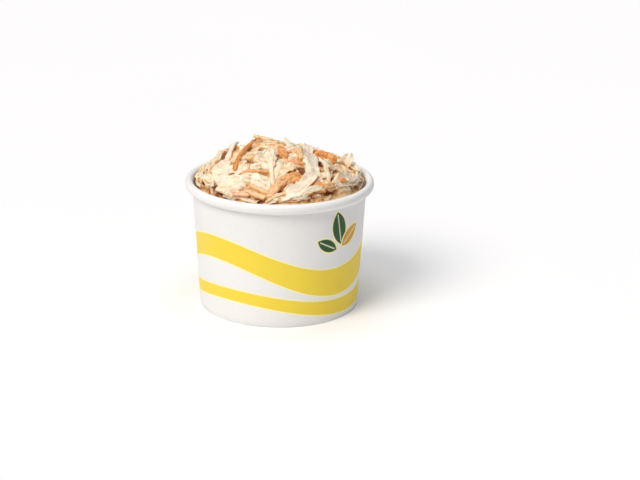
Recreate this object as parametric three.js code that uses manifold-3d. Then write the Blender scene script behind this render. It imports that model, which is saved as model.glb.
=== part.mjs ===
// A paper tub of coleslaw: a tapered sleeve of coated board with a rolled rim and a folded hem, a disc
// pressed into its foot, and a heap of dressed cabbage and carrot that fills it and domes over the rim.
// Millimetres, +Z up, the origin at the middle of the foot, the front of the heap towards -Y.
import * as THREE from "three";
import { mergeVertices } from "three/addons/utils/BufferGeometryUtils.js";
import Module from "manifold-3d";

const wasm = await Module();
wasm.setup();

// Driving dimensions of the tub
const CUP_HEIGHT = 62;
const RIM_RADIUS = 45;
const ROLL_WIDTH = 3.9;
const ROLL_HEIGHT = 4.7;
const NECK_RADIUS = 41.5;
const FOOT_RADIUS = 38;
const BOARD = 0.5;
const HEM_HEIGHT = 6;
const HEM_FOLD = 1.2;
const TOUCH_GAP = 0.3;
const ROUND_SIDES = 56;
const ROLL_STEPS = 13;

// Driving dimensions of the heap
const FILL_EDGE = 58.4;
const DOME_RISE = 15.6;
const DOME_LEAN = 0.1;
const LUMP = 1.1;
const RIPPLE = 0.6;
const DOME_RINGS = 9;
const SHRED_STEPS = 5;
const BED_COUNT = 50;
const WALL_ZONE = 0.75;
const WALL_LIFT = 0.6;
const FREE_LIFT = 2.4;
const SINK = 0.7;
const SLIVER = 0.03;
const CELL = 1;
const BED_SEED = 11;
const TOP_SEED = 29;

// What the knife leaves: each kind's usual length, width and thickness, and how much it ripples and curls
const KINDS = {
  ribbon: { length: 27, width: 5, thickness: 1.2, ripple: 0.8, curl: 1.1 },
  shred: { length: 24, width: 3, thickness: 1.5, ripple: 0.5, curl: 1.3 },
  carrot: { length: 20, width: 2.6, thickness: 1.9, ripple: 0, curl: 0.5 },
  leaf: { length: 9.5, width: 7, thickness: 1.3, ripple: 0.5, curl: 0.6 },
};
const BED_ORDER = ["ribbon", "shred", "carrot", "shred", "leaf", "ribbon", "carrot", "shred"];

// The pieces on top, laid last: kind, start x and y, end x and y, width, curl in degrees, lift of each end
const TOP_PIECES = [
  ["ribbon", -31, -22.5, -15, -24.5, 5.5, 15, 0, 0],
  ["ribbon", -31, -13, -17, -17, 6, -20, 0.5, 0],
  ["ribbon", -33.5, -4, -27, 8, 5, 20, 0.5, 2.5],
  ["shred", -21, -22, -5, -23.5, 3.2, -10, 0, 0],
  ["leaf", -9, 2, -4.6, -18, 9, 0, 0.5, 0],
  ["carrot", -17, -20.5, -4.5, -20.5, 1.6, 8, 0, 0],
  ["carrot", -12, 14, -20.7, -15, 2.2, -28, 0.5, 0],
  ["carrot", -16, -9.8, -11.8, -10.8, 3.2, 0, 0.6, 0],
  ["shred", -24.5, -3, -20, 13, 3.2, -20, 0, 2.5],
  ["shred", -5, 6, -3, -29, 2.6, 10, 0, 0],
  ["carrot", 1, -28, 10, -24, 5, 20, 0, 0],
  ["carrot", -4, -38.5, 5.5, -22.5, 4.2, -18, 0, 0],
  ["carrot", -15.5, -31.5, -6, -38.5, 2.4, 8, 0, 0],
  ["carrot", -13, -29, -4, -36.5, 2.2, -10, 0, 0],
  ["leaf", 0.5, -21, 7.5, -17, 5, 0, 0, 0],
  ["carrot", 3.5, -15, 12, -14.7, 1.8, 0, 0, 0],
  ["carrot", -0.5, 1, 3, -8.5, 3.4, 10, 0, 0],
  ["carrot", 16.5, 0, 25, 3, 4, 0, 0, 0.5],
  ["carrot", 16, 9, 25, 0, 3, 10, 1.5, 0],
  ["carrot", 8.8, 3, 10.3, -12, 2.8, 10, 0, 0],
  ["shred", 20.3, -1, 23, -21, 2.2, 8, 0, 0],
  ["leaf", 22.5, -10.5, 29, -4, 6, 0, 0.5, 0],
  ["leaf", 30.5, 3, 32.5, 12, 5.5, 0, 0, 3.5],
  ["carrot", 20.5, -22, 14, -36, 3, 20, 0, 0],
  ["ribbon", 12, 11, 15, -18, 5.4, 20, 3, 0],
  ["ribbon", 19, -20, 5, -38.5, 6, -25, 0, 0],
  ["leaf", 27.5, -18.5, 36, -12.5, 8, 0, 0, 0],
  ["carrot", 25.5, -22, 34.5, -19.5, 1.6, 0, 0, 0],
  ["carrot", 24, -25.5, 33, -23, 1.6, 10, 0, 0],
  ["shred", 1, 8, 6, -1, 3, 0, 4, 0],
  ["carrot", -13, 11, 0, 9, 2.6, 6, 4.5, 0],
];

// A small seeded generator (mulberry32), so that the same heap comes out every time
function seeded(seed) {
  let state = seed >>> 0;
  return () => {
    state = (state + 0x6d2b79f5) >>> 0;
    let mixed = Math.imul(state ^ (state >>> 15), state | 1);
    mixed = (mixed + Math.imul(mixed ^ (mixed >>> 7), mixed | 61)) ^ mixed;
    return ((mixed ^ (mixed >>> 14)) >>> 0) / 4294967296;
  };
}

function neckHeight() {
  const across = (NECK_RADIUS - (RIM_RADIUS - ROLL_WIDTH / 2)) / (ROLL_WIDTH / 2);
  return CUP_HEIGHT - (ROLL_HEIGHT / 2) * (1 + Math.sqrt(1 - across * across));
}

function outerRadius(z) {
  return FOOT_RADIUS + ((NECK_RADIUS - FOOT_RADIUS) * z) / neckHeight();
}

function innerRadius(z) {
  return outerRadius(z) - BOARD;
}

// Radius of the folded hem's outer face, behind the slot that takes the disc's skirt
function hemRadius(z) {
  return innerRadius(z) - BOARD - 2 * TOUCH_GAP;
}

const DISC_UNDERSIDE = HEM_HEIGHT + TOUCH_GAP;
const FILL_FLOOR = DISC_UNDERSIDE + BOARD + TOUCH_GAP;
const FILL_RADIUS = innerRadius(FILL_EDGE) - TOUCH_GAP;

// Turns a radius-and-height profile round the Z axis
function turned(profile) {
  const points = profile.map(([radius, z]) => new THREE.Vector2(radius, z));
  return new THREE.LatheGeometry(points, ROUND_SIDES).rotateX(Math.PI / 2);
}

// The sleeve's section runs up the outside, round the roll, down the inside and round the hem
function sleeveGeometry() {
  const rollRadius = RIM_RADIUS - ROLL_WIDTH / 2;
  const rollMiddle = CUP_HEIGHT - ROLL_HEIGHT / 2;
  const neckAngle = -Math.PI + Math.asin((rollMiddle - neckHeight()) / (ROLL_HEIGHT / 2));
  const profile = [
    [outerRadius(0), 0],
    [outerRadius(neckHeight() / 2), neckHeight() / 2],
  ];
  for (let step = 0; step <= ROLL_STEPS; step++) {
    const angle = neckAngle + ((Math.PI - neckAngle) * step) / ROLL_STEPS;
    profile.push([
      rollRadius + (ROLL_WIDTH / 2) * Math.cos(angle),
      rollMiddle + (ROLL_HEIGHT / 2) * Math.sin(angle),
    ]);
  }
  profile.push(
    [innerRadius(neckHeight()), neckHeight() - BOARD],
    [innerRadius(HEM_FOLD), HEM_FOLD],
    [hemRadius(HEM_FOLD), HEM_FOLD],
    [hemRadius(HEM_HEIGHT), HEM_HEIGHT],
    [hemRadius(HEM_HEIGHT) - BOARD, HEM_HEIGHT],
    [hemRadius(0) - BOARD, 0],
    [outerRadius(0), 0],
  );
  return turned(profile);
}

// The disc lies on the hem, and its skirt hangs in the slot between hem and sleeve
function discGeometry() {
  const skirtFoot = HEM_FOLD + TOUCH_GAP;
  const top = DISC_UNDERSIDE + BOARD;
  return turned([
    [0, DISC_UNDERSIDE],
    [hemRadius(DISC_UNDERSIDE) + TOUCH_GAP, DISC_UNDERSIDE],
    [hemRadius(skirtFoot) + TOUCH_GAP, skirtFoot],
    [innerRadius(skirtFoot) - TOUCH_GAP, skirtFoot],
    [innerRadius(top) - TOUCH_GAP, top],
    [0, top],
  ]);
}

// Height of the dome that the shreds lie on: a low cap that leans to one side, with lumps and ripples
function domeHeight(x, y) {
  const reach = Math.min((x * x + y * y) / (FILL_RADIUS * FILL_RADIUS), 1.2);
  const cap = DOME_RISE * (1 - reach) * (1 - (DOME_LEAN * x) / FILL_RADIUS);
  const lumps = LUMP * Math.sin(x / 6.5 + 0.6) * Math.cos(y / 7.5 - 0.4);
  return FILL_EDGE + cap + lumps * (1 - reach / 2) + RIPPLE * Math.sin(x / 3.4 + y / 4.1);
}

function domeNormal(x, y) {
  const slope = (2 * DOME_RISE) / (FILL_RADIUS * FILL_RADIUS);
  return new THREE.Vector3(slope * x, slope * y, 1).normalize();
}

// The core fills the tub and ends in the dome
function coreGeometry() {
  const profile = [
    [0, FILL_FLOOR],
    [innerRadius(FILL_FLOOR) - TOUCH_GAP, FILL_FLOOR],
  ];
  for (let ring = DOME_RINGS; ring >= 0; ring--) {
    profile.push([(FILL_RADIUS * ring) / DOME_RINGS, FILL_EDGE]);
  }
  const core = turned(profile);
  const place = core.attributes.position;
  for (let i = 0; i < place.count; i++) {
    if (place.getZ(i) > FILL_FLOOR + 1) {
      const x = place.getX(i);
      const y = place.getY(i);
      const rim = Math.hypot(x, y) > FILL_RADIUS - 0.01;
      place.setZ(i, rim ? FILL_EDGE : domeHeight(x, y));
    }
  }
  return core;
}

// The heap's height on a square grid, which rises as pieces are laid on it
class HeightField {
  constructor() {
    this.half = Math.ceil(FILL_RADIUS / CELL) + 1;
    this.side = 2 * this.half + 1;
    this.heights = new Float64Array(this.side * this.side);
    for (let row = 0; row < this.side; row++) {
      for (let column = 0; column < this.side; column++) {
        const x = (column - this.half) * CELL;
        const y = (row - this.half) * CELL;
        this.heights[row * this.side + column] = domeHeight(x, y);
      }
    }
  }

  index(x, y) {
    const column = Math.min(Math.max(Math.round(x / CELL) + this.half, 0), this.side - 1);
    const row = Math.min(Math.max(Math.round(y / CELL) + this.half, 0), this.side - 1);
    return row * this.side + column;
  }

  at(x, y) {
    return this.heights[this.index(x, y)];
  }

  raise(x, y, height) {
    const cell = this.index(x, y);
    this.heights[cell] = Math.max(this.heights[cell], height);
  }
}

// The plan of a piece: an arc of its length and curl, kept inside the tub's wall
function planPoint(piece, share) {
  const along = share - 0.5;
  const turn = piece.curl * along;
  const arc = Math.abs(piece.curl) < 1e-4;
  const forward = arc ? piece.length * along : (piece.length / piece.curl) * Math.sin(turn);
  const aside = arc ? 0 : (piece.length / piece.curl) * (1 - Math.cos(turn));
  const x = piece.x + forward * Math.cos(piece.heading) - aside * Math.sin(piece.heading);
  const y = piece.y + forward * Math.sin(piece.heading) + aside * Math.cos(piece.heading);
  const limit = FILL_RADIUS - 0.6 - piece.width / 2;
  const pull = Math.min(1, limit / Math.max(Math.hypot(x, y), 1e-6));
  return [x * pull, y * pull];
}

// A piece bends over what is under it but bridges small dips, because it is springy
function drape(piece, field) {
  const path = [];
  const ground = [];
  for (let k = 0; k <= SHRED_STEPS; k++) {
    const [x, y] = planPoint(piece, k / SHRED_STEPS);
    const reach = piece.width * 0.35;
    const side = piece.heading + Math.PI / 2;
    const left = field.at(x + reach * Math.cos(side), y + reach * Math.sin(side));
    const right = field.at(x - reach * Math.cos(side), y - reach * Math.sin(side));
    const height = (left + right + 2 * field.at(x, y)) / 4 - SINK;
    ground.push(height);
    path.push(new THREE.Vector3(x, y, height));
  }
  for (let round = 0; round < 8; round++) {
    for (let k = 1; k < SHRED_STEPS; k++) {
      path[k].z = Math.max(ground[k], (path[k - 1].z + path[k + 1].z) / 2);
    }
  }
  path.forEach((point, k) => {
    const share = k / SHRED_STEPS;
    const wave = piece.ripple * Math.sin(share * piece.waves * 2 * Math.PI + piece.phase);
    const lift = piece.liftStart * (1 - share) ** 2 + piece.liftEnd * share ** 2;
    point.z += piece.thickness / 2 + lift + wave * 0.5;
  });
  for (let k = 0; k <= SHRED_STEPS * 4; k++) {
    const share = (k / (SHRED_STEPS * 4)) * SHRED_STEPS;
    const low = Math.min(Math.floor(share), SHRED_STEPS - 1);
    const spot = path[low].clone().lerp(path[low + 1], share - low);
    for (let across = -1; across <= 1; across++) {
      const side = piece.heading + Math.PI / 2;
      const offset = (across * piece.width) / 3;
      field.raise(
        spot.x + offset * Math.cos(side),
        spot.y + offset * Math.sin(side),
        spot.z + piece.thickness / 2,
      );
    }
  }
  return path;
}

// A strip of board-like section, its box bent along the draped path, narrower at its ends
function stripGeometry(piece, path) {
  const strip = new THREE.BoxGeometry(1, piece.width, piece.thickness, SHRED_STEPS, 1, 1);
  const place = strip.attributes.position;
  for (let i = 0; i < place.count; i++) {
    const share = place.getX(i) + 0.5;
    const k = Math.round(share * SHRED_STEPS);
    const before = path[Math.max(k - 1, 0)];
    const after = path[Math.min(k + 1, SHRED_STEPS)];
    const along = after.clone().sub(before).normalize();
    const side = domeNormal(path[k].x, path[k].y).cross(along).normalize();
    const up = along.clone().cross(side);
    const roll = piece.twist * (share - 0.5);
    const taper = 1 - piece.taper * Math.abs(2 * share - 1) ** 3;
    const y = place.getY(i) * taper;
    const z = place.getZ(i);
    const spot = path[k].clone();
    spot.addScaledVector(side, y * Math.cos(roll) - z * Math.sin(roll));
    spot.addScaledVector(up, y * Math.sin(roll) + z * Math.cos(roll));
    place.setXYZ(i, spot.x, spot.y, spot.z);
  }
  return strip;
}

// The bed: pieces of every kind spread evenly over the dome on a sunflower spiral, turned at random,
// but along the wall near it
function bedPieces() {
  const random = seeded(BED_SEED);
  const golden = Math.PI * (3 - Math.sqrt(5));
  const pieces = [];
  for (let i = 0; i < BED_COUNT; i++) {
    const name = BED_ORDER[i % BED_ORDER.length];
    const kind = KINDS[name];
    const radius = (FILL_RADIUS - 3) * Math.sqrt((i + 0.5) / BED_COUNT);
    const angle = i * golden + 0.5 * random();
    const byWall = radius > WALL_ZONE * FILL_RADIUS;
    const alongWall = angle + Math.PI / 2 + random() - 0.5;
    const anyWay = 2 * Math.PI * random();
    const springiness = byWall ? WALL_LIFT : FREE_LIFT;
    pieces.push({
      name,
      x: radius * Math.cos(angle),
      y: radius * Math.sin(angle),
      heading: byWall ? alongWall : anyWay,
      length: kind.length * (0.7 + 0.5 * random()),
      width: kind.width * (0.8 + 0.4 * random()),
      thickness: kind.thickness,
      curl: kind.curl * (2 * random() - 1),
      twist: 1.4 * (random() - 0.5),
      taper: 0.25 + 0.35 * random(),
      ripple: kind.ripple,
      waves: 1 + random(),
      phase: 6.28 * random(),
      liftStart: springiness * random() ** 3,
      liftEnd: springiness * random() ** 3,
    });
  }
  return pieces;
}

function topPieces() {
  const random = seeded(TOP_SEED);
  return TOP_PIECES.map(([name, x0, y0, x1, y1, width, curl, liftStart, liftEnd]) => {
    const kind = KINDS[name];
    return {
      name,
      x: (x0 + x1) / 2,
      y: (y0 + y1) / 2,
      heading: Math.atan2(y1 - y0, x1 - x0),
      length: Math.hypot(x1 - x0, y1 - y0),
      width,
      thickness: kind.thickness,
      curl: (curl * Math.PI) / 180,
      twist: 0.5 * (random() - 0.5),
      taper: 0.2 + 0.2 * random(),
      ripple: kind.ripple * 0.6,
      waves: 1 + random(),
      phase: 6.28 * random(),
      liftStart,
      liftEnd,
    };
  });
}

// A closed three.js geometry as a solid that can be joined
function solidOf(geometry) {
  geometry.deleteAttribute("normal");
  geometry.deleteAttribute("uv");
  const merged = mergeVertices(geometry, 1e-4);
  const mesh = new wasm.Mesh({
    numProp: 3,
    vertProperties: new Float32Array(merged.attributes.position.array),
    triVerts: new Uint32Array(merged.index.array),
  });
  return new wasm.Manifold(mesh);
}

function geometryOf(solid) {
  const mesh = solid.getMesh();
  const geometry = new THREE.BufferGeometry();
  geometry.setAttribute("position", new THREE.BufferAttribute(mesh.vertProperties, 3));
  geometry.setIndex(new THREE.BufferAttribute(mesh.triVerts, 1));
  geometry.computeVertexNormals();
  return geometry;
}

// The heap: the core and every strip joined, with loose scraps and sealed hollows left out
function heapGeometry() {
  const field = new HeightField();
  const solids = [solidOf(coreGeometry())];
  for (const piece of [...bedPieces(), ...topPieces()]) {
    solids.push(solidOf(stripGeometry(piece, drape(piece, field))));
  }
  const joined = wasm.Manifold.union(solids).asOriginal().simplify(SLIVER);
  const bodies = joined.decompose();
  bodies.sort((a, b) => b.volume() - a.volume());
  return geometryOf(bodies[0]);
}

function named(name, geometry, color, roughness) {
  const material = new THREE.MeshStandardMaterial({ color, roughness, metalness: 0 });
  const mesh = new THREE.Mesh(geometry, material);
  mesh.name = name;
  return mesh;
}

const tub = new THREE.Group();
tub.add(named("cup_sleeve", sleeveGeometry(), 0xf7f5f2, 0.45));
tub.add(named("cup_base", discGeometry(), 0xf3f0ea, 0.6));
tub.add(named("coleslaw", heapGeometry(), 0xf0d9b8, 0.35));

export default tub;
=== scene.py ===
# %% [markdown]
# # A paper tub of coleslaw
#
# The object is a round paper tub, 90 mm across its rolled rim, filled with dressed cabbage and carrot
# that dome over the rim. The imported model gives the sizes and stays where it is. This script makes the
# finished surfaces around it: the board with its print, and a heap of some hundreds of separate shreds.
# Sizes are written in millimetres and turned to metres where a mesh is made.

# %% The fixed frame
import math

import bmesh
import bpy
import numpy as np
from mathutils import Euler, Matrix, Vector, noise


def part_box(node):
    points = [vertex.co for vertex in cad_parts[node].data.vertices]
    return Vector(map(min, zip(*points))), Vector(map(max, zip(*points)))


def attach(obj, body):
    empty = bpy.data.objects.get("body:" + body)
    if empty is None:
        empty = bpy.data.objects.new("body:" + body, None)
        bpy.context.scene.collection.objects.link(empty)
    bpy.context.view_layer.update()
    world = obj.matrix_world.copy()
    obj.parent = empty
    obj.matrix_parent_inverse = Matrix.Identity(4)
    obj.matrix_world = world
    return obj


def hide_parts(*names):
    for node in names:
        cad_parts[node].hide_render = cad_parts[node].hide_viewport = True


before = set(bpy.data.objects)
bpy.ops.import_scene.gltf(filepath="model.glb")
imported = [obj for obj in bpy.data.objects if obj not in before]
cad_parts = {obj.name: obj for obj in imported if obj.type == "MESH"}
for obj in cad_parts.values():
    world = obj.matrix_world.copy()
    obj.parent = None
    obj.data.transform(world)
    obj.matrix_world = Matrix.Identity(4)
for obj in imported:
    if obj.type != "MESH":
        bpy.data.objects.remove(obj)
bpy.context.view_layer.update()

MM = 0.001
sleeve_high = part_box("cup_sleeve")[1]
heap_low, heap_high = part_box("coleslaw")
CUP_HEIGHT = sleeve_high.z / MM
RIM_RADIUS = sleeve_high.x / MM
FILL_RADIUS = heap_high.x / MM
FILL_FLOOR = heap_low.z / MM
print(f"tub {2 * RIM_RADIUS:.1f} mm across and {CUP_HEIGHT:.1f} mm high")
print(f"heap {2 * FILL_RADIUS:.1f} mm across, up to {heap_high.z / MM:.1f} mm")

# %% [markdown]
# ## Two helpers for every node tree
#
# A colour is picked on a screen, so it is written as the sRGB hex value that a colour picker
# shows. Shaders work in linear light, and one function turns the one into the other. A second function
# adds a node with its settings and its links, and every tree below is made with it. An input may be given
# a value, an output to link, or a whole node, whose first output is then linked. Some nodes have inputs of
# one name for every kind of data, as the A and B of a Mix node, and those are given by their number.


# %% Colours and nodes
MIX_A = 6
MIX_B = 7
MIX_RESULT = 2


def linear(hex_colour):
    """An sRGB hex colour such as "f7f4ef" as the linear colour that a shader works with."""
    channels = [int(hex_colour[i:i + 2], 16) / 255 for i in (0, 2, 4)]
    return [c / 12.92 if c <= 0.04045 else ((c + 0.055) / 1.055) ** 2.4 for c in channels] + [1.0]


def add_node(tree, kind, sockets=None, **settings):
    """Adds a node, sets its properties, and fills or links its inputs, given by name or by number."""
    node = tree.nodes.new(kind)
    for name, value in settings.items():
        setattr(node, name, value)
    for key, value in (sockets or {}).items():
        if isinstance(value, bpy.types.Node):
            value = value.outputs[0]
        if isinstance(value, bpy.types.NodeSocket):
            tree.links.new(value, node.inputs[key])
        else:
            node.inputs[key].default_value = value
    return node


print("808080 is", round(linear("808080")[0], 3), "in linear light")

# %% [markdown]
# ## Running a Geometry Nodes tree
#
# A tree could stay on its object as a live modifier. The pieces here have to be plain meshes in the end,
# so each tree is put on a mesh, given its inputs, evaluated once, and taken off again. A modifier keeps
# its inputs under identifiers such as Socket_2 and not under their names, so each name is looked up in the
# tree's interface. The inputs are set before the object is evaluated for the first time.

# %% Making and running a tree
SOCKET_OF = {float: "NodeSocketFloat", int: "NodeSocketInt"}


def start_tree(name, inputs):
    """A new Geometry Nodes tree with a geometry and the named inputs going in, and a geometry out."""
    tree = bpy.data.node_groups.new(name, "GeometryNodeTree")
    tree.interface.new_socket("Geometry", in_out="INPUT", socket_type="NodeSocketGeometry")
    for label, value in inputs.items():
        kind = SOCKET_OF.get(type(value), "NodeSocketMaterial")
        socket = tree.interface.new_socket(label, in_out="INPUT", socket_type=kind)
        if value is not None:
            socket.default_value = value
    tree.interface.new_socket("Geometry", in_out="OUTPUT", socket_type="NodeSocketGeometry")
    return tree, add_node(tree, "NodeGroupInput").outputs


def end_tree(tree, geometry, material):
    """Every tree ends alike: real faces instead of instances, smooth shading and the material."""
    real = add_node(tree, "GeometryNodeRealizeInstances", {"Geometry": geometry})
    smooth = add_node(tree, "GeometryNodeSetShadeSmooth", {"Geometry": real})
    shown = add_node(tree, "GeometryNodeSetMaterial", {"Geometry": smooth, "Material": material})
    add_node(tree, "NodeGroupOutput", {"Geometry": shown})


def run_tree(tree, mesh, name, inputs):
    """Runs the tree on a mesh, and returns an object that holds the result as a plain mesh."""
    piece = bpy.data.objects.new(name, mesh)
    bpy.context.scene.collection.objects.link(piece)
    modifier = piece.modifiers.new(name, "NODES")
    modifier.node_group = tree
    for item in tree.interface.items_tree:
        if item.in_out == "INPUT" and item.name in inputs:
            modifier[item.identifier] = inputs[item.name]
    graph = bpy.context.evaluated_depsgraph_get()
    made = bpy.data.meshes.new_from_object(piece.evaluated_get(graph), depsgraph=graph)
    piece.modifiers.clear()
    piece.data = made
    made.name = name
    made.calc_loop_triangles()
    print(f"{name}: {len(made.loop_triangles)} triangles")
    return piece


def face_outwards(piece):
    """Welds doubles and turns every face of a closed piece outwards."""
    work = bmesh.new()
    work.from_mesh(piece.data)
    bmesh.ops.remove_doubles(work, verts=work.verts, dist=1e-6)
    bmesh.ops.recalc_face_normals(work, faces=work.faces)
    work.to_mesh(piece.data)
    work.free()


print("a tree's inputs are of the kinds", *SOCKET_OF.values(), "and material")

# %% [markdown]
# ## Camera, floor and light
#
# The tub is seen from a little above, from almost a metre away with a long lens, so its sides hardly
# converge. It stands left of the middle, because its soft shadow falls to the right. The floor is plain
# and white. An area lamp would light near places more than far ones, so the key is a sun to the left and
# in front, with a disc wide enough for a soft shadow. The world stands in for a large silk overhead: it is
# bright straight up and dark at the horizon, so what faces up is lighter than the upright wall.

# %% Camera
CAMERA_DISTANCE = 900.0
CAMERA_ELEVATION = 19.05
CAMERA_ROLL = 0.85
CAMERA_LENS = 105.2
AIM_HEIGHT = 31.0
AIM_ASIDE = 19.6
AIM_BELOW = -0.7

elevation = math.radians(CAMERA_ELEVATION)
turned_by = Euler((math.pi / 2 - elevation, 0, 0)).to_matrix() @ Matrix.Rotation(
    math.radians(CAMERA_ROLL), 3, "Z"
)
aim = Vector((0, 0, AIM_HEIGHT)) + turned_by @ Vector((AIM_ASIDE, AIM_BELOW, CAMERA_DISTANCE))
camera_data = bpy.data.cameras.new("camera")
camera_data.sensor_width = 36.0
camera_data.lens = CAMERA_LENS
camera_data.clip_start = 0.05
camera_data.clip_end = 20.0
camera = bpy.data.objects.new("camera", camera_data)
camera.matrix_world = Matrix.Translation(aim * MM) @ turned_by.to_4x4()
bpy.context.scene.collection.objects.link(camera)
bpy.context.scene.camera = camera
bpy.context.scene.view_settings.view_transform = "Standard"
print("camera at", [round(v, 3) for v in camera.location])

# %% Floor
FLOOR_HALF = 4000.0


def matt_paint(name="matt_white_paint"):
    """Matt white paint: hardly any gloss, with a faint unevenness that only shows close up."""
    material = bpy.data.materials.new(name)
    material.use_nodes = True
    tree = material.node_tree
    shader = tree.nodes["Principled BSDF"]
    shader.inputs["Roughness"].default_value = 0.85
    place = add_node(tree, "ShaderNodeTexCoord")
    mottle = add_node(tree, "ShaderNodeTexNoise", {"Vector": place.outputs["Object"], "Scale": 3.0})
    tint = add_node(tree, "ShaderNodeValToRGB", {"Fac": mottle.outputs["Fac"]})
    tint.color_ramp.elements[0].color = linear("fafafa")
    tint.color_ramp.elements[1].color = linear("fdfdfd")
    tree.links.new(tint.outputs["Color"], shader.inputs["Base Color"])
    return material


floor_mesh = bpy.data.meshes.new("floor")
half = FLOOR_HALF * MM
floor_corners = [(-half, -half, 0), (half, -half, 0), (half, half, 0), (-half, half, 0)]
floor_mesh.from_pydata(floor_corners, [], [(0, 1, 2, 3)])
floor = bpy.data.objects.new("floor", floor_mesh)
floor.data.materials.append(matt_paint())
bpy.context.scene.collection.objects.link(floor)
print("floor", 2 * FLOOR_HALF * MM, "m across")

# %% Light
KEY_AZIMUTH = -41.0
KEY_HEIGHT = 43.0
KEY_WIDTH = 32.0
KEY_POWER = 2.06
HORIZON = 0.05
ZENITH = 3.0
ZENITH_NARROWNESS = 8.0

key_data = bpy.data.lights.new("key", "SUN")
key_data.angle = math.radians(KEY_WIDTH)
key_data.energy = KEY_POWER
key_data.color = linear("fffaf4")[:3]
key = bpy.data.objects.new("key", key_data)
across, rise = math.radians(KEY_AZIMUTH), math.radians(KEY_HEIGHT)
towards_key = Vector((
    math.sin(across) * math.cos(rise),
    -math.cos(across) * math.cos(rise),
    math.sin(rise),
))
key.rotation_euler = towards_key.to_track_quat("Z", "Y").to_euler()
bpy.context.scene.collection.objects.link(key)

surround = bpy.data.worlds.new("overhead_silk")
surround.use_nodes = True
sky = surround.node_tree
direction = add_node(sky, "ShaderNodeTexCoord").outputs["Generated"]
upward = add_node(sky, "ShaderNodeSeparateXYZ", {"Vector": direction}).outputs["Z"]
overhead = add_node(sky, "ShaderNodeMath", {0: upward, 1: ZENITH_NARROWNESS}, operation="POWER")
level = add_node(
    sky, "ShaderNodeMath", {0: overhead, 1: ZENITH - HORIZON, 2: HORIZON}, operation="MULTIPLY_ADD"
)
sky.links.new(level.outputs[0], sky.nodes["Background"].inputs["Strength"])
sky.nodes["Background"].inputs["Color"].default_value = linear("fafbff")
bpy.context.scene.world = surround
print("key from", [round(v, 2) for v in towards_key], "and a silk overhead")

# %% [markdown]
# ## The board and its print
#
# The tub is cupstock: white bleached board with a thin polyethylene coat, printed before it is cut and
# formed. The coat gives a soft, even sheen, and the fibres under it show as a very faint mottle. The print
# is a common sort of leaf-and-wave pattern in yellow, green and gold. It could be an image, but flat
# fields of colour are easily said as distances: a band is "near a sine wave", and a leaf is "inside two
# circles at once". Said that way, the edges stay crisp at any size. Each shape is printed twice, first a
# little larger in a pale ink, which leaves a thin halo round it.

# %% Print sizes
PRINT_RADIUS = 40.0
INK_EDGE = 0.12
HALO = 0.75
WAVES = [
    {"middle": 28.0, "swing": 8.0, "half": 6.6, "swell": 1.2, "phase": 0.0},
    {"middle": 10.5, "swing": 3.6, "half": 3.6, "swell": 0.8, "phase": -0.35},
]
SWELL_TURN = 0.9
SPRIG_PLACE = (-44.0, 38.5)
SPRIG_REPEATS = 2
LEAVES = [
    {"ink": "27562b", "place": (-1.0, 8.0), "lean": 12.0, "length": 17.0, "breadth": 8.0},
    {"ink": "d9a32f", "place": (6.6, 3.0), "lean": -52.0, "length": 13.5, "breadth": 6.6},
    {"ink": "27562b", "place": (-7.6, 0.6), "lean": 62.0, "length": 12.0, "breadth": 5.8},
]
MIDRIB = 0.32
RIB_FADE = (0.7, 1.0)
RIB_STRENGTH = 0.85
PALE_INK = "fdf3bd"
YELLOW_INK = "f6d944"
RIB_INK = "f4ecc8"
print("print:", len(WAVES), "waves, and", SPRIG_REPEATS, "sprigs of", len(LEAVES), "leaves")

# %% The printed board's material
# Single fibres are too fine to show, so the pattern has the size of the flocks that they form.
FLOCK_SIZE = 0.9
FLOCK_HEIGHT = 0.05


def coated_board(name, printed):
    """Bleached board with a polyethylene coat. The print lies under the coat."""
    material = bpy.data.materials.new(name)
    material.use_nodes = True
    tree = material.node_tree
    shader = tree.nodes["Principled BSDF"]
    shader.inputs["Roughness"].default_value = 0.46
    shader.inputs["IOR"].default_value = 1.5
    shader.inputs["Specular IOR Level"].default_value = 0.3
    place = add_node(tree, "ShaderNodeTexCoord").outputs["Object"]
    fibre = add_node(
        tree, "ShaderNodeTexNoise",
        {"Vector": place, "Scale": 1 / (FLOCK_SIZE * MM), "Detail": 4.0, "Roughness": 0.6},
    ).outputs["Fac"]
    board = add_node(
        tree, "ShaderNodeMix",
        {"Factor": fibre, MIX_A: linear("ebeae8"), MIX_B: linear("f4f3f2")}, data_type="RGBA",
    ).outputs[MIX_RESULT]
    colour = board
    if printed:
        colour = add_print(tree, place, board)
    tree.links.new(colour, shader.inputs["Base Color"])
    relief = add_node(
        tree, "ShaderNodeBump", {"Height": fibre, "Strength": 0.12, "Distance": FLOCK_HEIGHT * MM}
    )
    tree.links.new(relief.outputs["Normal"], shader.inputs["Normal"])
    return material


def lay_ink(tree, colour, inside, edge, ink):
    """Prints an ink over a colour wherever the distance inside a shape is more than a given edge."""
    cover = add_node(
        tree, "ShaderNodeMapRange",
        {"Value": inside, "From Min": edge - INK_EDGE, "From Max": edge + INK_EDGE},
    )
    return add_node(
        tree, "ShaderNodeMix", {"Factor": cover, MIX_A: colour, MIX_B: linear(ink)}, data_type="RGBA"
    ).outputs[MIX_RESULT]


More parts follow.
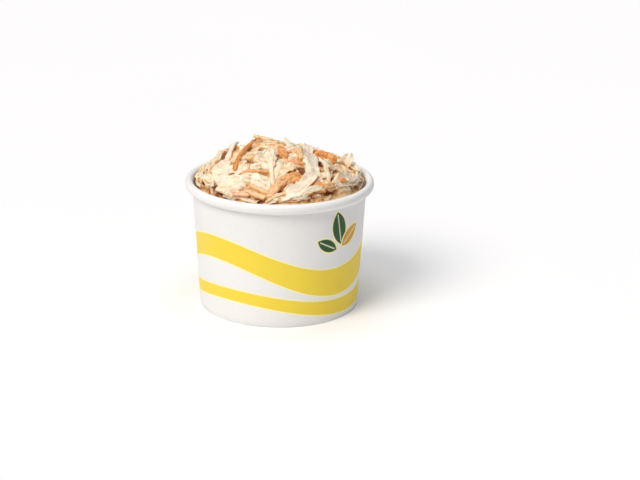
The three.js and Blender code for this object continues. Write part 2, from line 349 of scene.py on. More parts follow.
def add_print(tree, place, board):
    """Lays the waves and the sprigs over the board's colour, and returns the new colour."""
    parts = add_node(tree, "ShaderNodeSeparateXYZ", {"Vector": place}).outputs
    angle = add_node(tree, "ShaderNodeMath", {0: parts["Y"], 1: parts["X"]}, operation="ARCTAN2")
    height = add_node(tree, "ShaderNodeMath", {0: parts["Z"], 1: 1 / MM}, operation="MULTIPLY")
    colour = board
    for wave in WAVES:
        twice = add_node(
            tree, "ShaderNodeMath", {0: angle, 1: 2.0, 2: wave["phase"]}, operation="MULTIPLY_ADD"
        )
        sway = add_node(tree, "ShaderNodeMath", {0: twice}, operation="SINE")
        line = add_node(
            tree, "ShaderNodeMath", {0: sway, 1: wave["swing"], 2: wave["middle"]}, operation="MULTIPLY_ADD"
        )
        off = add_node(tree, "ShaderNodeMath", {0: height, 1: line}, operation="SUBTRACT")
        away = add_node(tree, "ShaderNodeMath", {0: off}, operation="ABSOLUTE")
        bulge = add_node(
            tree, "ShaderNodeMath", {0: twice, 1: 0.5, 2: SWELL_TURN}, operation="MULTIPLY_ADD"
        )
        round_bulge = add_node(tree, "ShaderNodeMath", {0: bulge}, operation="SINE")
        half = add_node(
            tree, "ShaderNodeMath",
            {0: round_bulge, 1: wave["swell"], 2: wave["half"]}, operation="MULTIPLY_ADD",
        )
        inside = add_node(tree, "ShaderNodeMath", {0: half, 1: away}, operation="SUBTRACT")
        for edge, ink in ((-HALO, PALE_INK), (0.0, YELLOW_INK)):
            colour = lay_ink(tree, colour, inside, edge, ink)
    step = math.pi / SPRIG_REPEATS
    start = math.radians(SPRIG_PLACE[0])
    near = add_node(
        tree, "ShaderNodeMath", {0: angle, 1: start + step, 2: start - step}, operation="WRAP"
    )
    along = add_node(
        tree, "ShaderNodeMath",
        {0: near, 1: PRINT_RADIUS, 2: -start * PRINT_RADIUS}, operation="MULTIPLY_ADD",
    )
    up = add_node(tree, "ShaderNodeMath", {0: height, 1: SPRIG_PLACE[1]}, operation="SUBTRACT")
    flat = add_node(tree, "ShaderNodeCombineXYZ", {"X": along, "Y": up})
    for leaf in LEAVES:
        half_length, half_breadth = leaf["length"] / 2, leaf["breadth"] / 2
        radius = (half_length ** 2 + half_breadth ** 2) / (2 * half_breadth)
        centre = radius - half_breadth
        own = add_node(
            tree, "ShaderNodeMapping",
            {
                "Vector": flat,
                "Location": (leaf["place"][0], leaf["place"][1], 0.0),
                "Rotation": (0.0, 0.0, math.radians(leaf["lean"])),
            },
            vector_type="TEXTURE",
        )
        reach = [
            add_node(
                tree, "ShaderNodeVectorMath", {0: own, 1: (side * centre, 0.0, 0.0)}, operation="DISTANCE"
            ).outputs["Value"]
            for side in (-1, 1)
        ]
        furthest = add_node(tree, "ShaderNodeMath", {0: reach[0], 1: reach[1]}, operation="MAXIMUM")
        inside = add_node(tree, "ShaderNodeMath", {0: radius, 1: furthest}, operation="SUBTRACT")
        cross = add_node(tree, "ShaderNodeSeparateXYZ", {"Vector": own}).outputs["X"]
        from_rib = add_node(tree, "ShaderNodeMath", {0: cross}, operation="ABSOLUTE")
        for edge, ink in ((-HALO, PALE_INK), (0.0, leaf["ink"])):
            colour = lay_ink(tree, colour, inside, edge, ink)
        on_rib = add_node(
            tree, "ShaderNodeMapRange",
            {"Value": from_rib, "From Min": MIDRIB + INK_EDGE, "From Max": MIDRIB - INK_EDGE},
        )
        rib_inside = add_node(
            tree, "ShaderNodeMapRange",
            {"Value": inside, "From Min": RIB_FADE[0], "From Max": RIB_FADE[1], "To Max": RIB_STRENGTH},
        )
        rib = add_node(tree, "ShaderNodeMath", {0: on_rib, 1: rib_inside}, operation="MULTIPLY")
        colour = add_node(
            tree, "ShaderNodeMix", {"Factor": rib, MIX_A: colour, MIX_B: linear(RIB_INK)}, data_type="RGBA"
        ).outputs[MIX_RESULT]
    return colour


printed_board = coated_board("coated_cupstock_printed", True)
plain_board = coated_board("coated_cupstock_plain", False)
print("materials:", printed_board.name, plain_board.name)

# %% [markdown]
# ## The tub
#
# The sleeve is a flat blank rolled into a cone, with its ends lapped and sealed at the back. Its top edge
# is curled outwards into the rim, and its foot is folded in round the skirt of the base disc. All of that
# is one section turned round an axis, so a tree turns a section drawn once. The lap is the one thing that
# isn't round: there the outer end stands nearly one board proud and fades away over a centimetre.

# %% The turning tree
SIDES = 288
LAP_PLACE = 62.0
LAP_LENGTH = 11.0
LAP_STEP = 0.45


def turning_tree():
    """Turns the section, an outline in X and Z, round the Z axis, with a lap at one angle."""
    tree, given = start_tree("turned_section", {"Sides": SIDES, "Lap": 0.0, "Material": None})
    outline = add_node(tree, "GeometryNodeMeshToCurve", {"Mesh": given["Geometry"]})
    spot = add_node(tree, "GeometryNodeInputPosition")
    section = add_node(
        tree, "GeometryNodeStoreNamedAttribute",
        {"Geometry": outline, "Name": "section", "Value": spot}, data_type="FLOAT_VECTOR",
    )
    ring = add_node(tree, "GeometryNodeCurvePrimitiveCircle", {"Resolution": given["Sides"]})
    factor = add_node(tree, "GeometryNodeSplineParameter").outputs["Factor"]
    marked = add_node(
        tree, "GeometryNodeStoreNamedAttribute",
        {"Geometry": ring, "Name": "turn", "Value": factor}, data_type="FLOAT",
    )
    skin = add_node(tree, "GeometryNodeCurveToMesh", {"Curve": marked, "Profile Curve": section})
    own = add_node(tree, "GeometryNodeInputNamedAttribute", {"Name": "section"}, data_type="FLOAT_VECTOR")
    share = add_node(tree, "GeometryNodeInputNamedAttribute", {"Name": "turn"}, data_type="FLOAT")
    parts = add_node(tree, "ShaderNodeSeparateXYZ", {"Vector": own}).outputs
    angle = add_node(tree, "ShaderNodeMath", {0: share, 1: 2 * math.pi}, operation="MULTIPLY")
    past = add_node(tree, "ShaderNodeMath", {0: angle, 1: math.radians(LAP_PLACE)}, operation="SUBTRACT")
    fade = add_node(
        tree, "ShaderNodeMapRange",
        {"Value": past, "From Min": 0.0, "From Max": LAP_LENGTH / RIM_RADIUS, "To Min": 1.0, "To Max": 0.0},
    )
    begun = add_node(tree, "ShaderNodeMath", {0: past, 1: 0.0}, operation="GREATER_THAN")
    proud = add_node(tree, "ShaderNodeMath", {0: fade, 1: begun}, operation="MULTIPLY")
    lapped = add_node(
        tree, "ShaderNodeMath", {0: proud, 1: given["Lap"], 2: parts["X"]}, operation="MULTIPLY_ADD"
    )
    cosine = add_node(tree, "ShaderNodeMath", {0: angle}, operation="COSINE")
    sine = add_node(tree, "ShaderNodeMath", {0: angle}, operation="SINE")
    x = add_node(tree, "ShaderNodeMath", {0: cosine, 1: lapped}, operation="MULTIPLY")
    y = add_node(tree, "ShaderNodeMath", {0: sine, 1: lapped}, operation="MULTIPLY")
    place = add_node(tree, "ShaderNodeCombineXYZ", {"X": x, "Y": y, "Z": parts["Z"]})
    formed = add_node(tree, "GeometryNodeSetPosition", {"Geometry": skin, "Position": place})
    end_tree(tree, formed, given["Material"])
    return tree


def turned_piece(name, outline, lap, material):
    """A section of radius and height pairs in millimetres, turned into a closed piece."""
    mesh = bpy.data.meshes.new(name + "_section")
    count = len(outline)
    edges = [(i, (i + 1) % count) for i in range(count)]
    mesh.from_pydata([(r * MM, 0, z * MM) for r, z in outline], edges, [])
    piece = run_tree(turning, mesh, name, {"Sides": SIDES, "Lap": lap * MM, "Material": material})
    face_outwards(piece)
    return piece


turning = turning_tree()
print("turning tree:", len(turning.nodes), "nodes")

# %% The sleeve's section
ROLL_WIDTH = 3.9
ROLL_HEIGHT = 4.7
NECK_RADIUS = 41.5
FOOT_RADIUS = 38.0
BOARD = 0.5
HEM_HEIGHT = 6.0
HEM_FOLD = 1.2
TOUCH_GAP = 0.3
ROLL_STEPS = 26
WALL_STEPS = 24
CURL_GAP = 0.7
CURL_DEPTH = 1.6
FOOT_ROUND = 0.25

roll_radius = RIM_RADIUS - ROLL_WIDTH / 2
roll_middle = CUP_HEIGHT - ROLL_HEIGHT / 2
neck_across = (NECK_RADIUS - roll_radius) / (ROLL_WIDTH / 2)
NECK_HEIGHT = roll_middle - ROLL_HEIGHT / 2 * math.sqrt(1 - neck_across ** 2)


def outer_radius(z):
    """The wall's outside at a height."""
    return FOOT_RADIUS + (NECK_RADIUS - FOOT_RADIUS) * z / NECK_HEIGHT


def inner_radius(z):
    """The wall's inside at a height."""
    return outer_radius(z) - BOARD


def hem_radius(z):
    """The outside of the folded hem. The base's skirt goes between it and the wall, with two gaps."""
    return inner_radius(z) - BOARD - 2 * TOUCH_GAP


def sleeve_section():
    """Up the outside and behind the curl's edge, round the roll, down the inside and round the hem."""
    up = [(outer_radius(z), z) for z in np.linspace(FOOT_ROUND, NECK_HEIGHT + CURL_DEPTH, WALL_STEPS)]
    up.append((NECK_RADIUS + CURL_GAP, NECK_HEIGHT + CURL_DEPTH))
    first = -math.acos((NECK_RADIUS + CURL_GAP - roll_radius) / (ROLL_WIDTH / 2))
    roll = [
        (roll_radius + ROLL_WIDTH / 2 * math.cos(a), roll_middle + ROLL_HEIGHT / 2 * math.sin(a))
        for a in np.linspace(first, math.pi, ROLL_STEPS)
    ]
    down = [(inner_radius(z), z) for z in np.linspace(NECK_HEIGHT - BOARD, HEM_FOLD, WALL_STEPS)]
    hem = [
        (hem_radius(HEM_FOLD), HEM_FOLD),
        (hem_radius(HEM_HEIGHT), HEM_HEIGHT),
        (hem_radius(HEM_HEIGHT) - BOARD, HEM_HEIGHT),
        (hem_radius(0) - BOARD, FOOT_ROUND),
        (hem_radius(0) - BOARD + FOOT_ROUND, 0.0),
        (outer_radius(0) - FOOT_ROUND, 0.0),
    ]
    return up + roll + down + hem


sleeve = turned_piece("tub_sleeve", sleeve_section(), LAP_STEP, printed_board)

# %% The base disc's section
disc_underside = HEM_HEIGHT + TOUCH_GAP
skirt_foot = HEM_FOLD + TOUCH_GAP
disc_top = disc_underside + BOARD
base_section = [
    (0.0, disc_underside),
    (hem_radius(disc_underside) + TOUCH_GAP, disc_underside),
    (hem_radius(skirt_foot) + TOUCH_GAP, skirt_foot),
    (inner_radius(skirt_foot) - TOUCH_GAP, skirt_foot),
    (inner_radius(disc_top) - TOUCH_GAP, disc_top),
    (0.0, disc_top),
]
base = turned_piece("tub_base", base_section, 0.0, plain_board)

for piece, node in ((sleeve, "cup_sleeve"), (base, "cup_base")):
    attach(piece, "root")
    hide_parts(node)

# %% [markdown]
# ## How a heap of shreds is laid
#
# Each shred falls on what is there already: it bends over high places and bridges small dips. A real
# simulation of some hundreds of wet strips would be slow and hard to steer, so a height field does the
# work. It starts as a dome with lumps, a strip reads it along its own line, takes the higher of the
# ground and the mean of its neighbours, and then raises the field where it lies. The same seeded rule
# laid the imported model's strips.

# %% Seeded draws and the dome
FILL_EDGE = 58.4
DOME_RISE = 15.6
DOME_LEAN = 0.1
LUMP = 1.1
RIPPLE = 0.6
SHRED_STEPS = 5
BED_COUNT = 50
WALL_ZONE = 0.75
WALL_LIFT = 0.6
FREE_LIFT = 2.4
SINK = 0.7
CELL = 1.0
BED_SEED = 11
TOP_SEED = 29
WORD = 0xFFFFFFFF
WALL_CLEARANCE = 0.6
READ_ASIDE = 0.35
BRIDGE_ROUNDS = 8
FIELD_SAMPLES = 4


def seeded(seed):
    """A small generator (mulberry32) of numbers from 0 to 1, the same every time."""
    state = [seed & WORD]

    def draw():
        state[0] = (state[0] + 0x6D2B79F5) & WORD
        a = state[0]
        mixed = ((a ^ (a >> 15)) * (a | 1)) & WORD
        mixed = ((mixed + ((mixed ^ (mixed >> 7)) * (mixed | 61))) & WORD) ^ mixed
        return ((mixed ^ (mixed >> 14)) & WORD) / 2 ** 32

    return draw


def dome_height(x, y):
    """Height of the dome that the shreds lie on. It takes numbers or arrays."""
    reach = np.minimum((x * x + y * y) / FILL_RADIUS ** 2, 1.2)
    cap = DOME_RISE * (1 - reach) * (1 - DOME_LEAN * x / FILL_RADIUS)
    lumps = LUMP * np.sin(x / 6.5 + 0.6) * np.cos(y / 7.5 - 0.4)
    return FILL_EDGE + cap + lumps * (1 - reach / 2) + RIPPLE * np.sin(x / 3.4 + y / 4.1)


def dome_normal(x, y):
    """The direction straight out of the dome, with its lumps left out."""
    slope = 2 * DOME_RISE / FILL_RADIUS ** 2
    return Vector((slope * x, slope * y, 1)).normalized()


class HeightField:
    """The heap's height on a square grid, which rises as pieces are laid on it."""

    def __init__(self, drop=0.0):
        self.half = math.ceil(FILL_RADIUS / CELL) + 1
        ticks = (np.arange(2 * self.half + 1) - self.half) * CELL
        x, y = np.meshgrid(ticks, ticks)
        self.heights = dome_height(x, y) - drop

    def cell(self, x, y):
        column = min(max(math.floor(x / CELL + 0.5) + self.half, 0), 2 * self.half)
        row = min(max(math.floor(y / CELL + 0.5) + self.half, 0), 2 * self.half)
        return row, column

    def at(self, x, y):
        return self.heights[self.cell(x, y)]

    def rise(self, x, y, height):
        cell = self.cell(x, y)
        self.heights[cell] = max(self.heights[cell], height)


print("the bare dome's top is at", round(float(dome_height(0.0, 0.0)), 1), "mm")


# %% Draping one piece
def plan_point(piece, share):
    """The plan of a piece: an arc of its length and curl, kept inside the tub's wall."""
    along = share - 0.5
    curl = piece["curl"]
    if abs(curl) < 1e-4:
        forward, aside = piece["length"] * along, 0.0
    else:
        forward = piece["length"] / curl * math.sin(curl * along)
        aside = piece["length"] / curl * (1 - math.cos(curl * along))
    c, s = math.cos(piece["heading"]), math.sin(piece["heading"])
    x = piece["x"] + forward * c - aside * s
    y = piece["y"] + forward * s + aside * c
    limit = FILL_RADIUS - WALL_CLEARANCE - piece["width"] / 2
    pull = min(1.0, limit / max(math.hypot(x, y), 1e-6))
    return x * pull, y * pull


def drape(piece, field, steps):
    """Lays a piece on the field: it bends over what is under it, but bridges small dips."""
    path, ground = [], []
    across = piece["heading"] + math.pi / 2
    c, s = math.cos(across), math.sin(across)
    reach = piece["width"] * READ_ASIDE
    for k in range(steps + 1):
        x, y = plan_point(piece, k / steps)
        left = field.at(x + reach * c, y + reach * s)
        right = field.at(x - reach * c, y - reach * s)
        ground.append((left + right + 2 * field.at(x, y)) / 4 - SINK)
        path.append(Vector((x, y, ground[-1])))
    for _ in range(BRIDGE_ROUNDS):
        for k in range(1, steps):
            path[k].z = max(ground[k], (path[k - 1].z + path[k + 1].z) / 2)
    for k, point in enumerate(path):
        share = k / steps
        wave = piece["ripple"] * math.sin(share * piece["waves"] * 2 * math.pi + piece["phase"])
        lift = piece["lift_start"] * (1 - share) ** 2 + piece["lift_end"] * share ** 2
        point.z += piece["thickness"] / 2 + lift + wave * 0.5
    for k in range(steps * FIELD_SAMPLES + 1):
        share = k / FIELD_SAMPLES
        low = min(math.floor(share), steps - 1)
        spot = path[low].lerp(path[low + 1], share - low)
        for step in (-1, 0, 1):
            offset = step * piece["width"] / 3
            field.rise(spot.x + offset * c, spot.y + offset * s, spot.z + piece["thickness"] / 2)
    return path


print("a piece keeps", WALL_CLEARANCE, "mm from the wall, and settles", SINK, "mm into what it lies on")

# %% [markdown]
# ## What the knife leaves
#
# White cabbage gives ribbons from the outer leaves, narrow shreds, and short leaf pieces. The grater gives
# thicker carrot sticks with a squarer section. Pure chance would leave bare places and knots, so a first
# bed lies evenly over the dome on a sunflower spiral. The pieces that catch the eye lie on it, each with a
# place of its own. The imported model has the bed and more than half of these, near their places here. Below
# and between them go some hundreds of smaller pieces, which only this script makes.

# %% Kinds of piece
KINDS = {
    "ribbon": {"length": 27, "width": 5, "thickness": 1.2, "ripple": 0.8, "curl": 1.1},
    "shred": {"length": 24, "width": 3, "thickness": 1.5, "ripple": 0.5, "curl": 1.3},
    "carrot": {"length": 20, "width": 2.6, "thickness": 1.9, "ripple": 0, "curl": 0.5},
    "leaf": {"length": 9.5, "width": 7, "thickness": 1.3, "ripple": 0.5, "curl": 0.6},
}
BED_ORDER = ["ribbon", "shred", "carrot", "shred", "leaf", "ribbon", "carrot", "shred"]

# Kind, start x and y, end x and y, width, curl in degrees, lift of each end, and tone: on carrot from
# coated pale to bare orange, on cabbage from white to yellow. A lift below zero tucks an end in between
# its neighbours. Some have a lean, in degrees, which turns a face outwards.
TOP_PIECES = [
    ("leaf", -34.5, -16, -29.5, -24, 5.5, 10, 0.3, 0, 0.05),
    ("carrot", -33, -12, -29.5, -14, 2.6, 0, 0.3, 0.3, 0.85),
    ("ribbon", -26, -29, -10, -36, 4.6, 12, 0, 0, 0.35, 15),
    ("ribbon", 13, -37, 27, -30.5, 4, 10, 0, 0, 0.3, 20),
    ("carrot", 26, -29, 33.5, -21.5, 2.2, 10, 0, 0, 0.6),
    ("ribbon", -31, -20.5, -14, -26.5, 6, 15, 0, 0, 0.3, 15),
    ("ribbon", -31, -13, -17, -17, 6, -20, 0.5, 0, 0.2),
    ("ribbon", -33.5, -4, -27, 8, 5, 20, 0.5, 2.5, 0.7),
    ("shred", -21, -22, -5, -23.5, 3.2, -10, 0, 0, 0.4),
    ("leaf", -9, 2, -4.6, -18, 9, 0, 0.5, 0, 0.35),
    ("carrot", -17, -20.5, -4.5, -20.5, 1.6, 8, 0, 0, 0.6),
    ("carrot", -16, -9.8, -11.8, -10.8, 3.2, 0, 0.6, 0, 0.2),
    ("shred", -26, -3, -21.5, 13, 3.2, -20, 0, 2.2, 0.05),
    ("carrot", -14, 13, -22.3, -17, 2.8, 28, 0.5, 0, 1.0, 20),
    ("shred", -5, 6, -3, -29, 2.6, 10, 0, 0, 0.5),
    ("carrot", 0, -29, 10.5, -24.5, 6.4, 20, 0, 0, 0.85, 25),
    ("carrot", -5, -38.5, 5, -22.5, 4.6, -18, 0, 0, 0.6),
    ("carrot", -15.5, -31.5, -6, -38.5, 2.4, 8, 0.5, 0.5, 0.35),
    ("carrot", -13, -29, -4, -36.5, 2.2, -10, 0.4, 0.4, 0.35),
    ("leaf", 0.5, -21, 7.5, -17, 5, 0, 0, 0, 0.8),
    ("carrot", 3.5, -15, 12, -14.7, 1.8, 0, 0, 0, 0.7),
    ("carrot", -0.5, 1, 3, -8.5, 3.4, 10, 0, 0, 0.95),
    ("carrot", 16.5, -1, 25, 1.5, 5, 0, 0.8, 0.8, 1.0, 50),
    ("carrot", 16, 7, 26, -1, 3.6, 10, 1.5, 0.3, 0.95, 35),
    ("carrot", 8.8, 3, 10.3, -12, 2.8, 10, 0, 0, 0.2),
    ("shred", 21, -5, 23, -21, 2.4, 8, 0, 0, 0.3),
    ("leaf", 22.5, -10.5, 29, -4, 6, 0, 0.5, 0, 0.5),
    ("leaf", 29.5, 6, 34.5, 5, 8.5, 0, 3.2, 2.8, 0.2, 60),
    ("carrot", 19.5, -25.5, 12.5, -38, 3.4, 20, 0, 0, 1.0),
    ("ribbon", 12, 9, 16, -18, 5.8, 20, 2.2, 0.3, 0.15),
    ("ribbon", 18.5, -17.5, 5.5, -38.5, 6, -25, 0.6, 0, 0.3),
    ("leaf", 28, -22.5, 35, -7, 8.5, 25, 0, 0.4, 0.2, 10),
    ("carrot", 22.5, -24, 31, -24.5, 1.6, 0, 0, 0, 0.3),
    ("carrot", 20, -28.5, 29, -28, 1.6, 10, 0, 0, 0.45),
    ("ribbon", -28, -25, -15.5, -29.8, 4.8, 10, 0.2, 0.2, 0.2, 20),
    ("leaf", -30, -4, -23.5, -10, 6.5, 0, 0.5, 0.5, 0.3, 10),
    ("carrot", 16, -34.5, 22, -32.5, 2.6, 10, 0.4, 0.4, 0.95),
    ("carrot", 22.8, -32.2, 27.8, -29.2, 2.4, 0, 0.4, 0.4, 0.4),
    ("leaf", 28.5, -28.5, 33, -23.5, 4.5, 0, 0.6, 0.6, 0.5),
    ("shred", 11, -38.4, 20.8, -34, 3, 12, -0.6, -0.6, 0.2, 45),
    ("carrot", 20, -34.6, 26.5, -30, 2.6, 10, -0.6, -0.6, 0.85, 45),
    ("shred", 25.8, -30.5, 32.5, -23.5, 3.4, 12, -0.6, -0.6, 0.5, 45),
    ("leaf", 31, -25, 36, -17, 4.8, 12, -0.5, -0.5, 0.15, 40),
    ("shred", 35.5, -17.5, 39, -8.5, 3.2, 12, -0.5, -0.5, 0.3, 40),
    ("shred", 13, -38, 22, -33.5, 2, 12, -2.6, -2.2, 0.3, 20),
    ("carrot", 20.5, -34.5, 26.5, -30, 1.8, 10, -2.2, -2.8, 0.5, 20),
    ("shred", 25, -31.5, 33, -23, 2.4, 14, -3, -2.2, 0.1, 20),
    ("shred", 32, -24.5, 37.5, -14, 2.2, 12, -2.4, -3, 0.6, 20),
    ("shred", 32.5, -23, 37.5, -13, 2.6, 10, 0.9, 0.9, 0.15),
    ("carrot", 27, -26, 33, -25.5, 2, 0, 0.4, 0.4, 0.95),
    ("shred", -36.5, -14.5, -32.5, -25.5, 2.6, 10, 0.8, 0.8, 0.4),
    ("shred", -31, -28, -22, -33.5, 2.8, 10, 0.7, 0.7, 0.6),
    ("carrot", -21, -34, -13.6, -36.9, 2.4, 10, 0.7, 0.7, 0.35),
    ("shred", 2, -39, 10.5, -37.5, 2.6, 10, 0.6, 0.6, 0.2),
    ("shred", 2, 8, 7, -1, 3, 0, 2.9, 0, 0.2),
    ("carrot", -13, 11, -0.5, 8.5, 2.8, 6, 2.2, 0, 0.05),
]


def bed_pieces():
    """Pieces of every kind spread evenly on a sunflower spiral, and along the wall near it."""
    draw = seeded(BED_SEED)
    tone = seeded(BED_SEED + 1)
    golden = math.pi * (3 - math.sqrt(5))
    pieces = []
    for i in range(BED_COUNT):
        name = BED_ORDER[i % len(BED_ORDER)]
        kind = KINDS[name]
        radius = (FILL_RADIUS - 3) * math.sqrt((i + 0.5) / BED_COUNT)
        angle = i * golden + 0.5 * draw()
        by_wall = radius > WALL_ZONE * FILL_RADIUS
        along_wall = angle + math.pi / 2 + draw() - 0.5
        any_way = 2 * math.pi * draw()
        springiness = WALL_LIFT if by_wall else FREE_LIFT
        pieces.append({
            "name": name,
            "x": radius * math.cos(angle),
            "y": radius * math.sin(angle),
            "heading": along_wall if by_wall else any_way,
            "length": kind["length"] * (0.7 + 0.5 * draw()),
            "width": kind["width"] * (0.8 + 0.4 * draw()),
            "thickness": kind["thickness"],
            "curl": kind["curl"] * (2 * draw() - 1),
            "twist": 1.4 * (draw() - 0.5),
            "taper": 0.25 + 0.35 * draw(),
            "ripple": kind["ripple"],
            "waves": 1 + draw(),
            "phase": 6.28 * draw(),
            "lift_start": springiness * draw() ** 3,
            "lift_end": springiness * draw() ** 3,
            "tone": tone(),
            "lean": 0.0,
        })
    return pieces


def top_pieces():
    """The placed pieces, each worked out from its two ends."""
    draw = seeded(TOP_SEED)
    pieces = []
    for name, x0, y0, x1, y1, width, curl, lift_start, lift_end, tone, *lean in TOP_PIECES:
        kind = KINDS[name]
        pieces.append({
            "name": name,
            "x": (x0 + x1) / 2,
            "y": (y0 + y1) / 2,
            "heading": math.atan2(y1 - y0, x1 - x0),
            "length": math.hypot(x1 - x0, y1 - y0),
            "width": width,
            "thickness": kind["thickness"],
            "curl": math.radians(curl),
            "twist": 0.5 * (draw() - 0.5),
            "taper": 0.2 + 0.2 * draw(),
            "ripple": kind["ripple"] * 0.6,
            "waves": 1 + draw(),
            "phase": 6.28 * draw(),
            "lift_start": lift_start,
            "lift_end": lift_end,
            "tone": tone,
            "lean": math.radians(lean[0]) if lean else 0.0,
        })
    return pieces


print("bed:", BED_COUNT, "pieces, placed ones:", len(TOP_PIECES))

# %% [markdown]
# ## Filling up between them
#
# A heap shows a few large pieces and many small ones. The small ones follow a rule: each group is spread
# evenly, with its own seed, and lies at its own level, from under the bed to on top of it. Small shreds
# fall in loose bundles, so those near a place share a direction, give or take some disorder.

# %% Smaller pieces
# Long and wide are shares of the kind's size. The lean, in radians, and the lift, in millimetres, are the
# most that a piece gets. The groups by the wall and on the far side keep to a part of the heap.
FILLERS = {
    "under": {"count": 150, "seed": 101, "long": 0.75, "wide": 0.7, "lean": 0.5, "lift": 0.4},
    "between": {"count": 70, "seed": 202, "long": 0.7, "wide": 0.6, "lean": 0.4, "lift": 0.5},
    "over": {"count": 90, "seed": 303, "long": 0.42, "wide": 0.4, "lean": 0.4, "lift": 0.4},
    "by wall": {
        "count": 48, "seed": 404, "long": 0.5, "wide": 0.6, "lean": 0.4, "lift": 0.2, "inner": 0.88,
    },
    "far side": {
        "count": 80, "seed": 505, "long": 0.75, "wide": 0.9, "lean": 0.3, "lift": 0.8, "behind": 7,
    },
}
FILLER_ORDER = ["shred", "ribbon", "carrot", "shred", "shred", "ribbon", "shred", "carrot", "leaf", "shred"]
DISORDER = 1.1
OUTER_ZONE = 0.9


def grain(x, y):
    """The direction that small shreds near a place share, because they fell there as a bundle."""
    return 1.4 * math.sin(x / 9 + 1.3) + 1.7 * math.cos(y / 8 - 0.7) + 0.8 * math.sin((x + y) / 6)


def filler_pieces(count, seed, long, wide, lean, lift, inner=0.0, behind=-FILL_RADIUS):
    """Short pieces spread evenly over the heap, in loose bundles, curled and leaning at random.

    They start at a share of the radius, inner, and lie behind a place on the Y axis."""
    draw = seeded(seed)
    golden = math.pi * (3 - math.sqrt(5))
    pieces = []
    for i in range(count):
        name = FILLER_ORDER[i % len(FILLER_ORDER)]
        kind = KINDS[name]
        radius = (FILL_RADIUS - 1.2) * math.sqrt(inner ** 2 + (1 - inner ** 2) * (i + 0.5) / count)
        angle = i * golden + 0.8 * draw() + seed
        x, y = radius * math.cos(angle), radius * math.sin(angle)
        if y < behind:
            continue
        by_wall = radius > OUTER_ZONE * FILL_RADIUS
        along_wall = angle + math.pi / 2
        pieces.append({
            "name": name,
            "x": x,
            "y": y,
            "heading": (along_wall if by_wall else grain(x, y)) + DISORDER * (draw() - 0.5),
            "length": kind["length"] * long * (0.6 + 0.9 * draw()),
            "width": kind["width"] * wide * (0.7 + 0.6 * draw()),
            "thickness": kind["thickness"] * (0.6 + 0.4 * draw()),
            "curl": kind["curl"] * 0.7 * (2 * draw() - 1),
            "twist": 2.0 * (draw() - 0.5),
            "taper": 0.2 + 0.4 * draw(),
            "ripple": kind["ripple"] * 0.8,
            "waves": 1 + draw(),
            "phase": 6.28 * draw(),
            "lift_start": lift * draw() ** 2,
            "lift_end": lift * draw() ** 2,
            "tone": draw(),
            "lean": lean * (2 * draw() - 1),
        })
    return pieces


# %% Laying them all, from the bottom up
CORE_DROP = 2.0
TUCK = 0.9
TOP_STEPS = 10


def lay(pieces, field, steps=SHRED_STEPS):
    """Lays pieces one after the other, and returns each with the line that it came to lie along."""
    return [(piece, drape(piece, field, steps)) for piece in pieces]


low_field = HeightField(CORE_DROP)
laid = lay(filler_pieces(**FILLERS["under"]), low_field)
main_field = HeightField()
laid += lay(bed_pieces(), main_field)
tucked_field = HeightField()
tucked_field.heights = np.maximum(main_field.heights - TUCK, low_field.heights)
laid += lay(filler_pieces(**FILLERS["between"]), tucked_field)
laid += lay(filler_pieces(**FILLERS["over"]), tucked_field)
laid += lay(filler_pieces(**FILLERS["by wall"]), tucked_field)
main_field.heights = np.maximum(main_field.heights, tucked_field.heights)
laid += lay(filler_pieces(**FILLERS["far side"]) + top_pieces(), main_field, TOP_STEPS)
print("pieces laid:", len(laid))

# %% [markdown]
# ## From laid lines to solid shreds
#
# Every piece is now a line with a direction across and a direction up at each point. A tree sweeps a
# rounded, squared section along each line, lets thin leaf ruffle at its edges and cup in the middle, and
# roughens the surface a little, since cut vegetable under dressing is never smooth. The line carries the
# sizes as attributes, so one tree serves every kind, and each kind becomes one mesh.

# %% Guide lines with their directions
GUIDE_STEP = 0.8
END_START = 0.86
END_LENGTH = 0.145
TIP_WIDTH = 0.75
TIP_THICKNESS = 0.6
GUIDE_FIELDS = {
    "centre": "FLOAT_VECTOR",
    "side": "FLOAT_VECTOR",
    "up": "FLOAT_VECTOR",
    "half_width": "FLOAT",
    "half_thick": "FLOAT",
    "along": "FLOAT",
    "tone": "FLOAT",
    "phase": "FLOAT",
}


def smooth_line(path, count):
    """Points on a Catmull-Rom curve through the path."""
    points = np.array([tuple(p) for p in path])
    padded = np.vstack([2 * points[0] - points[1], points, 2 * points[-1] - points[-2]])
    shares = np.linspace(0, len(points) - 1, count)
    low = np.minimum(shares.astype(int), len(points) - 2)
    t = (shares - low)[:, None]
    a, b, c, d = (padded[low + k] for k in range(4))
    square = (2 * a - 5 * b + 4 * c - d) * t ** 2
    cube = (3 * b - a - 3 * c + d) * t ** 3
    return 0.5 * (2 * b + (c - a) * t + square + cube)


